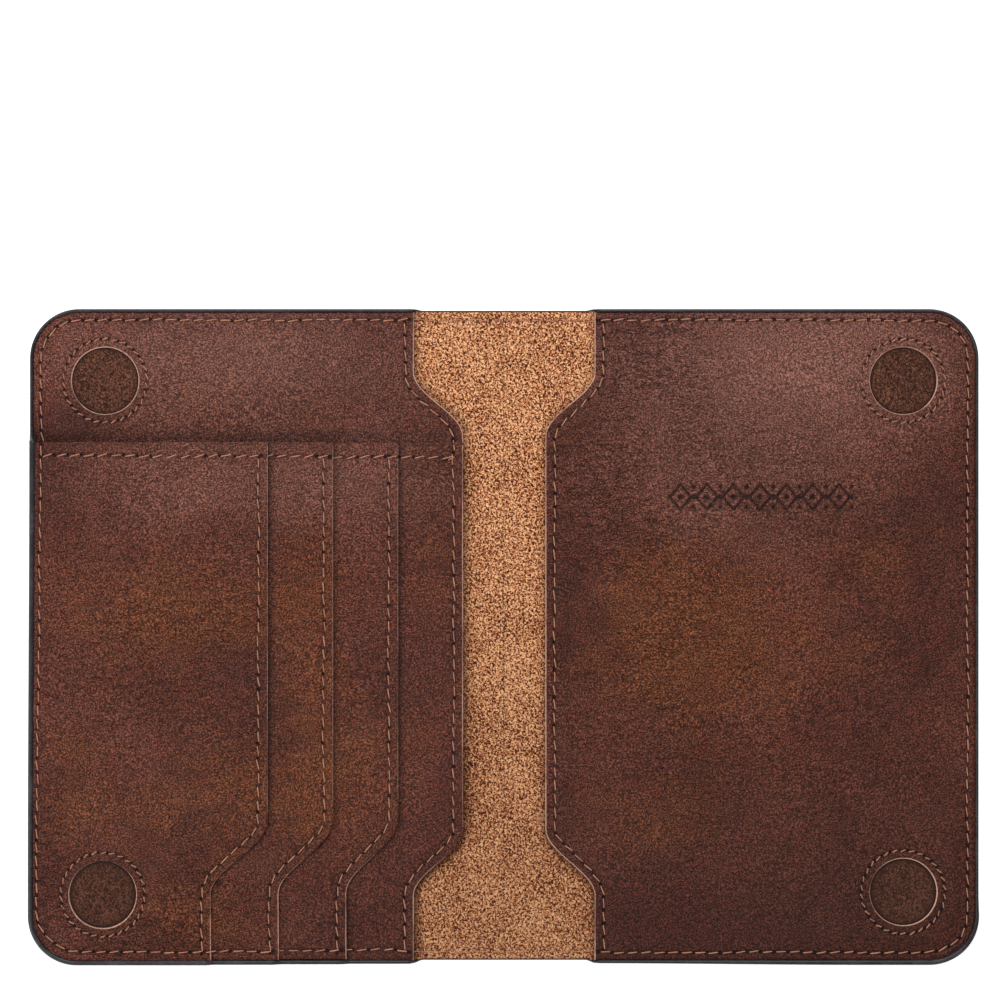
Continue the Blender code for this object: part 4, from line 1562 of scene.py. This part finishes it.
# ---- The whole holder -----------------------------------------------------------------------------
@dataclass
class PassportHolder:
    """The open holder: where its sheets, seams and magnets lie, and the order they are made in."""

    outline: Outline
    fold_x: float
    cover_thickness: float
    window_radius: float = 7.35 * MM
    seam_inset: float = 2.5 * MM
    mouth_inset: float = 2.05 * MM
    block_inset: float = 2.8 * MM
    ring_margin: float = 1.9 * MM
    pocket_pitch: float = 14.85 * MM
    panel_foot: float = 20.0 * MM
    panel_step: tuple[float, float] = (29.9 * MM, 15.1 * MM)
    pocket_step: tuple[float, float] = (31.9 * MM, 15.8 * MM)
    bend_reach: float = 3.4 * MM
    block_top: float = 42.8 * MM
    hidden_margin: float = 3.15 * MM
    block_lean: tuple[float, float, float] = (0.6 * MM, -0.3 * MM, 0.7 * MM)

    def magnet_centre(self, place: str) -> tuple[float, float]:
        """Centre of a magnet, mirrored to the right-hand side."""
        low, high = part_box(f"magnet_disc_{place}")
        return (abs(low.x + high.x) / 2, (low.y + high.y) / 2)

    def ring_row(self, place: str) -> StitchRow:
        """Ring of short slanted stitches round a magnet."""
        centre = self.magnet_centre(place)
        turn = np.linspace(0.0, 2 * math.pi, 361)
        ring = np.column_stack([np.cos(turn), np.sin(turn)]) * (self.window_radius + self.ring_margin)
        line = Line.through(ring + centre, closed=True)
        return StitchRow(f"ring_seam_{place}", line, pitch=1.95 * MM, slant=0.36, width=0.33 * MM)

    def outer_row(self, half: Half) -> StitchRow:
        """Stitches round the outer edge of a half."""
        line = self.outline.path(self.seam_inset)
        line = line.shifted(-self.block_shift(half, *line.points.T))
        return StitchRow(f"outer_seam_{half.word}", line.wandering(40 + half.value))

    def block_shift(self, half: Half, x: Array, y: Array) -> Array:
        """How far the outer seam moves in on the thick block of card pockets.

        It moves in at the block's top and along its bottom, and a little out towards its foot.
        """
        if half is Half.RIGHT:
            return np.zeros(len(x))
        top, foot, bottom = self.block_lean
        side = top + (foot - top) * smooth((self.block_top - y) / (90 * MM))
        shift = side + (bottom - side) * smooth((-60 * MM - y) / (9 * MM))
        on_block = smooth((self.block_top + 0.8 * MM - y) / (1.6 * MM))
        return shift * on_block * smooth((x - self.panel_foot) / (6 * MM))

    def mouth_row(self, sheet: LeatherSheet, bottom: float, top: float) -> StitchRow:
        """Stitches beside a sheet's free edge."""
        line = sheet.mouth.line(bottom, top).shifted(self.mouth_inset)
        return StitchRow(f"{sheet.node}_seam", line.wandering(len(sheet.node) + int(sheet.foot / MM)))

    def sheet(self, node: str, half: Half, thickness: float, **extra: object) -> LeatherSheet:
        """Starts a sheet with what all sheets of its half share."""
        places = [f"upper_{half.word}", f"lower_{half.word}"]
        spots = [self.magnet_centre(place) for place in places]
        step = self.pocket_step if "pocket" in node else self.panel_step
        order = 4 - int(node[-1]) if node[-1].isdigit() else 0
        return LeatherSheet(
            node, half, self.outline, thickness, self.panel_foot + order * self.pocket_pitch, step,
            SWELLS[half], PATINA_AND_PAINTED_LIGHT[half], calm_spots=spots, **extra,
        )

    def blend(self, piece: bpy.types.Object, half: Half) -> None:
        """Bakes a piece's placement into its mesh."""
        half.body
        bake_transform(piece)

    def build(self) -> None:
        """Makes every piece of the holder and reports each one."""
        finishes = Finishes()
        for number, half in enumerate(Half):
            sheets = self.left_sheets() if half is Half.LEFT else self.right_sheets()
            self.build_half(half, sheets, number, finishes)
            self.build_cover(half, sheets, number, finishes)
            for end in ("upper", "lower"):
                log.info("piece %s", MagnetCap(f"{end}_{half.word}", half).build(finishes.cap).name)
        self.dress_hidden(finishes)

    def left_sheets(self) -> list[LeatherSheet]:
        """Sheets of the left half from the cover outwards: slip panel, card backing, three pockets."""
        upper = Window(self.magnet_centre("upper_left"), self.window_radius)
        lower = Window(self.magnet_centre("lower_left"), self.window_radius)
        hidden = Window(lower.centre, self.window_radius + self.hidden_margin, ringed=False)
        slip = self.sheet("slip_panel", Half.LEFT, 0.9 * MM, windows=[upper])
        backing = self.sheet("card_backing", Half.LEFT, 0.7 * MM)
        third, second, front = (
            self.sheet(f"card_pocket_{number}", Half.LEFT, 0.6 * MM, windows=[window], raw_upper=0.62,
                       raw_foot=0.95, inset=1.25 * MM)
            for number, window in ((3, hidden), (2, hidden), (1, lower))
        )
        backing.above, third.above, second.above = third, second, front
        return [slip, backing, third, second, front]

    def right_sheets(self) -> list[LeatherSheet]:
        """The passport panel, with its windows and stamp."""
        centres = [self.magnet_centre(f"{end}_right") for end in ("upper", "lower")]
        windows = [Window(centre, self.window_radius) for centre in centres]
        return [self.sheet("passport_panel", Half.RIGHT, 0.9 * MM, windows=windows, stamp=Stamp(),
                           coarse=2.1 * MM)]

    def rows_for(self, half: Half, sheets: list[LeatherSheet]) -> list[tuple[StitchRow, LeatherSheet]]:
        """Rows of stitches inside a half, each with the sheet whose face it lies on."""
        end = self.outline.half_height - self.seam_inset - 0.4 * MM
        block = [sheet for sheet in sheets if not sheet.full]
        full = [sheet for sheet in sheets if sheet.full]
        rows = [(self.mouth_row(sheet, -end, end), sheet) for sheet in full]
        if block:
            seam_y = block[0].top - self.block_inset
            rows += [(self.mouth_row(sheet, -end, seam_y - 0.3 * MM), sheet) for sheet in block[1:]]
            near = block[0].mouth.edge
            corners = [[near + 3.7 * MM, seam_y - 0.85 * MM], [near + 1.2 * MM, seam_y - 0.45 * MM],
                       [self.outline.half_width - 3.2 * MM, seam_y]]
            line = Line.through(np.array(corners)).wandering(5)
            rows.append((StitchRow("card_block_seam", line, slant=0.26), block[-1]))
        for place, host in ((f"upper_{half.word}", full[-1]), (f"lower_{half.word}", sheets[-1])):
            rows.append((self.ring_row(place), host))
        return rows

    def build_half(self, half: Half, sheets: list[LeatherSheet], number: int, finishes: Finishes) -> None:
        """Makes the sheets of a half and the rows of stitches on them.

        Args:
            half: Which half.
            sheets: Its sheets from the cover outwards.
            number: Count of the half, for the seeds.
            finishes: The holder's materials.
        """
        rows = self.rows_for(half, sheets)
        outer = self.outer_row(half)
        for sheet in sheets:
            sheet.rows = [outer] + [row for row, host in rows if self.marks(row, host, sheet)]
        for sheet in sheets:
            log.info("piece %s", sheet.build(finishes.hide, finishes.raw).name)
        for count, (row, host) in enumerate(rows):
            seams = Stitching(f"{row.name}_stitches", half, row, self.covering(sheets), 100 * number + count)
            piece = seams.build(finishes.thread)
            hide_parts(row.name)
            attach(piece, half.body)
            log.info("piece %s", piece.name)

    @staticmethod
    def marks(row: StitchRow, host: LeatherSheet, sheet: LeatherSheet) -> bool:
        """Whether a row pierces a sheet: it lies on the sheet, or runs along the block of pockets."""
        if row.name == "card_block_seam":
            return not sheet.full
        if row.name == "slip_panel_seam":
            return sheet.node in ("slip_panel", "card_backing")
        return host is sheet

    def covering(self, sheets: list[LeatherSheet]) -> Callable[[Array, Array], Array]:
        """Height of the uppermost leather of a half, as a function of points.

        Args:
            sheets: Sheets of the half from the cover outwards.

        Returns:
            The function.
        """
        def height(x: Array, y: Array) -> Array:
            """Greatest height of the sheets that lie over each point."""
            level = np.full(len(x), self.cover_thickness)
            for sheet in sheets:
                over = (x >= sheet.mouth.x(y)) & (y <= sheet.top)
                if over.any():
                    level[over] = np.maximum(level[over], sheet.top_height(x[over], y[over]))
            return level
        return height

    def build_cover(self, half: Half, sheets: list[LeatherSheet], number: int, finishes: Finishes) -> None:
        """Makes the cover, its painted edge and the outer seam of a half.

        Args:
            half: Which half.
            sheets: Its sheets from the cover outwards.
            number: Count of the half, for the seeds.
            finishes: The holder's materials.
        """
        word = half.word
        row = self.outer_row(half)
        cover = Cover(half, self.outline, self.cover_thickness, row, sheets[0].mouth_line)
        shell_piece = cover.build(finishes.suede, finishes.hide)
        spine = ["outer_cover_spine"] if half is Half.LEFT else []
        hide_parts(f"outer_cover_{word}", *spine)
        bead = PaintedEdge(half, self.outline, sheets, self.cover_thickness).build(finishes.paint)
        seam = f"outer_seam_{word}"
        face = Stitching(f"{seam}_stitches", half, row, self.covering(sheets), 50 + number)
        face = face.build(finishes.thread)
        spine_end = "upper" if half is Half.LEFT else "lower"
        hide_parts(seam, f"spine_seam_{spine_end}")
        back = Stitching(f"{seam}_back", half, row, cover.underside, 60 + number, facing=-1, lift=-0.01 * MM)
        for piece in (shell_piece, bead, face, back.build(finishes.thread)):
            self.blend(piece, half)
            log.info("piece %s", piece.name)

    def dress_hidden(self, finishes: Finishes) -> None:
        """Gives the magnets and the patches behind them their finishes."""
        for name, node in frame["nodes"].items():
            if name.startswith("magnet_") and not name.startswith("magnet_disc"):
                node.data.materials.clear()
                hidden = finishes.raw if name.startswith("magnet_patch") else finishes.nickel
                node.data.materials.append(hidden)


SWELLS = {Half.LEFT: Swell(11), Half.RIGHT: Swell(29)}
# Pale rows paint sheen on the upper leather. Dark rows paint shade and shadow: along the top of the block of
# pockets, towards the bottom, over the lower discs, along the right edge and beside the passport panel's free
# edge.
PATINA_AND_PAINTED_LIGHT = {
    Half.LEFT: Patina.in_mm(
        warm=(
            (-76, 5, 26, 16, 0.75), (-62, -36, 22, 14, 0.6), (-94, -36, 10, 18, 0.5), (-72, -62, 18, 10, 0.6),
            (-42, 8, 8, 26, 0.6), (-34, -28, 16, 20, 0.55), (-60, 52, 30, 9, 0.35), (-16, 20, 6, 24, 0.35),
        ),
        pale=((-58, 62, 50, 15, 0.75), (-66, 34, 44, 12, 0.5), (-24, 32, 20, 14, 0.3)),
        dark=((-60, 44.4, 70, 1.8, 0.45), (-30, -66, 40, 14, 0.14), (-88, -56, 5, 5, 0.42)),
        creased=((-88, -56, 22, 18, 0.4), (-64, -62, 26, 10, 0.3), (-60, 10, 60, 60, 0.25)),
    ),
    Half.RIGHT: Patina.in_mm(
        warm=(
            (36, 4, 20, 22, 0.75), (56, -4, 22, 18, 0.6), (82, 18, 12, 20, 0.35), (34, -40, 18, 12, 0.45),
            (22, 52, 12, 12, 0.2),
        ),
        pale=((62, 62, 50, 18, 0.85), (52, 34, 44, 20, 0.5)),
        dark=((72, -70, 66, 38, 0.5), (99, -20, 14, 60, 0.14), (14, -10, 4, 50, 0.2)),
        creased=((28, 46, 20, 26, 0.8), (50, 0, 60, 60, 0.3)),
    ),
}


# ---- Studio ---------------------------------------------------------------------------------------
@dataclass
class Studio:
    """Pale floor, soft light and the camera straight above."""

    camera_x: float = -0.83 * MM
    camera_y: float = 30.05 * MM
    field: float = 221.3 * MM
    level: float = 3.0 * MM
    lens: float = 85.0
    sensor: float = 36.0
    floor_reach: float = 3.0
    floor_drop: float = 0.05 * MM
    background: float = 0.35

    def build(self) -> None:
        """Sets up the floor, the lights, the background and the camera."""
        self.lay_floor()
        self.light("key_window", (-0.55, -0.36, 0.6), (0.0, 0.0, 0.0), 0.45, 3.0)
        self.light("upper_softbox", (0.03, 0.62, 0.72), (0.0, 0.04, 0.0), 0.45, 5.2)
        world = bpy.data.worlds.new("studio")
        world.use_nodes = True
        backdrop = world.node_tree.nodes["Background"]
        backdrop.inputs["Color"].default_value = (1.0, 1.0, 1.0, 1.0)
        backdrop.inputs["Strength"].default_value = self.background
        bpy.context.scene.world = world
        bpy.context.scene.view_settings.view_transform = "Standard"
        self.set_camera()

    def lay_floor(self) -> None:
        """Makes the floor: one wide sheet just under the holder, which glows a little."""
        corners = np.array([(-1, -1, 0), (1, -1, 0), (1, 1, 0), (-1, 1, 0)]) * self.floor_reach
        mesh = bpy.data.meshes.new("floor")
        mesh.from_pydata((corners - (0.0, 0.0, self.floor_drop)).tolist(), [], [(0, 1, 2, 3)])
        material = bpy.data.materials.new("pale_floor")
        material.use_nodes = True
        shader = material.node_tree.nodes["Principled BSDF"]
        constants = {
            "Base Color": (0.95, 0.95, 0.95, 1.0), "Roughness": 0.9, "Specular IOR Level": 0.1,
            "Emission Color": (1.0, 1.0, 1.0, 1.0), "Emission Strength": 0.6,
        }
        for name, value in constants.items():
            shader.inputs[name].default_value = value
        mesh.materials.append(material)
        placed("floor", mesh)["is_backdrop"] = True

    @staticmethod
    def light(name: str, place: tuple[float, float, float], target: tuple[float, float, float],
              size: float, power: float) -> None:
        """Adds a square soft light aimed at a point.

        Args:
            name: Name of the light.
            place: Where it stands.
            target: What it is aimed at.
            size: Length of its side.
            power: Watts.
        """
        lamp = bpy.data.lights.new(name, "AREA")
        lamp.size = size
        lamp.energy = power
        stand = placed(name, lamp)
        stand.location = place
        stand.rotation_euler = (Vector(target) - Vector(place)).to_track_quat("-Z", "Y").to_euler()

    def set_camera(self) -> None:
        """Places the camera so that its field has the wanted width at the holder's face."""
        camera = bpy.data.cameras.new("camera")
        camera.lens = self.lens
        camera.sensor_width = self.sensor
        camera.clip_start = 0.01
        camera.clip_end = 20.0
        stand = placed("camera", camera)
        distance = self.field * self.lens / self.sensor
        stand.location = (self.camera_x, self.camera_y, self.level + distance)
        bpy.context.scene.camera = stand


def main() -> None:
    """Builds the holder and the studio."""
    logging.basicConfig(level=logging.INFO, format="%(name)s: %(message)s")
    cad_low, cad_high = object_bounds()
    cover_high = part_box("outer_cover_spine")[1]
    fold_x = next(joint["pos_m"][0] for joint in frame["joints"] if joint["name"] == "right_fold")
    PassportHolder(Outline(cad_high.x, cad_high.y), fold_x, cover_high.z).build()
    Studio().build()


if __name__ == "__main__":
    main()
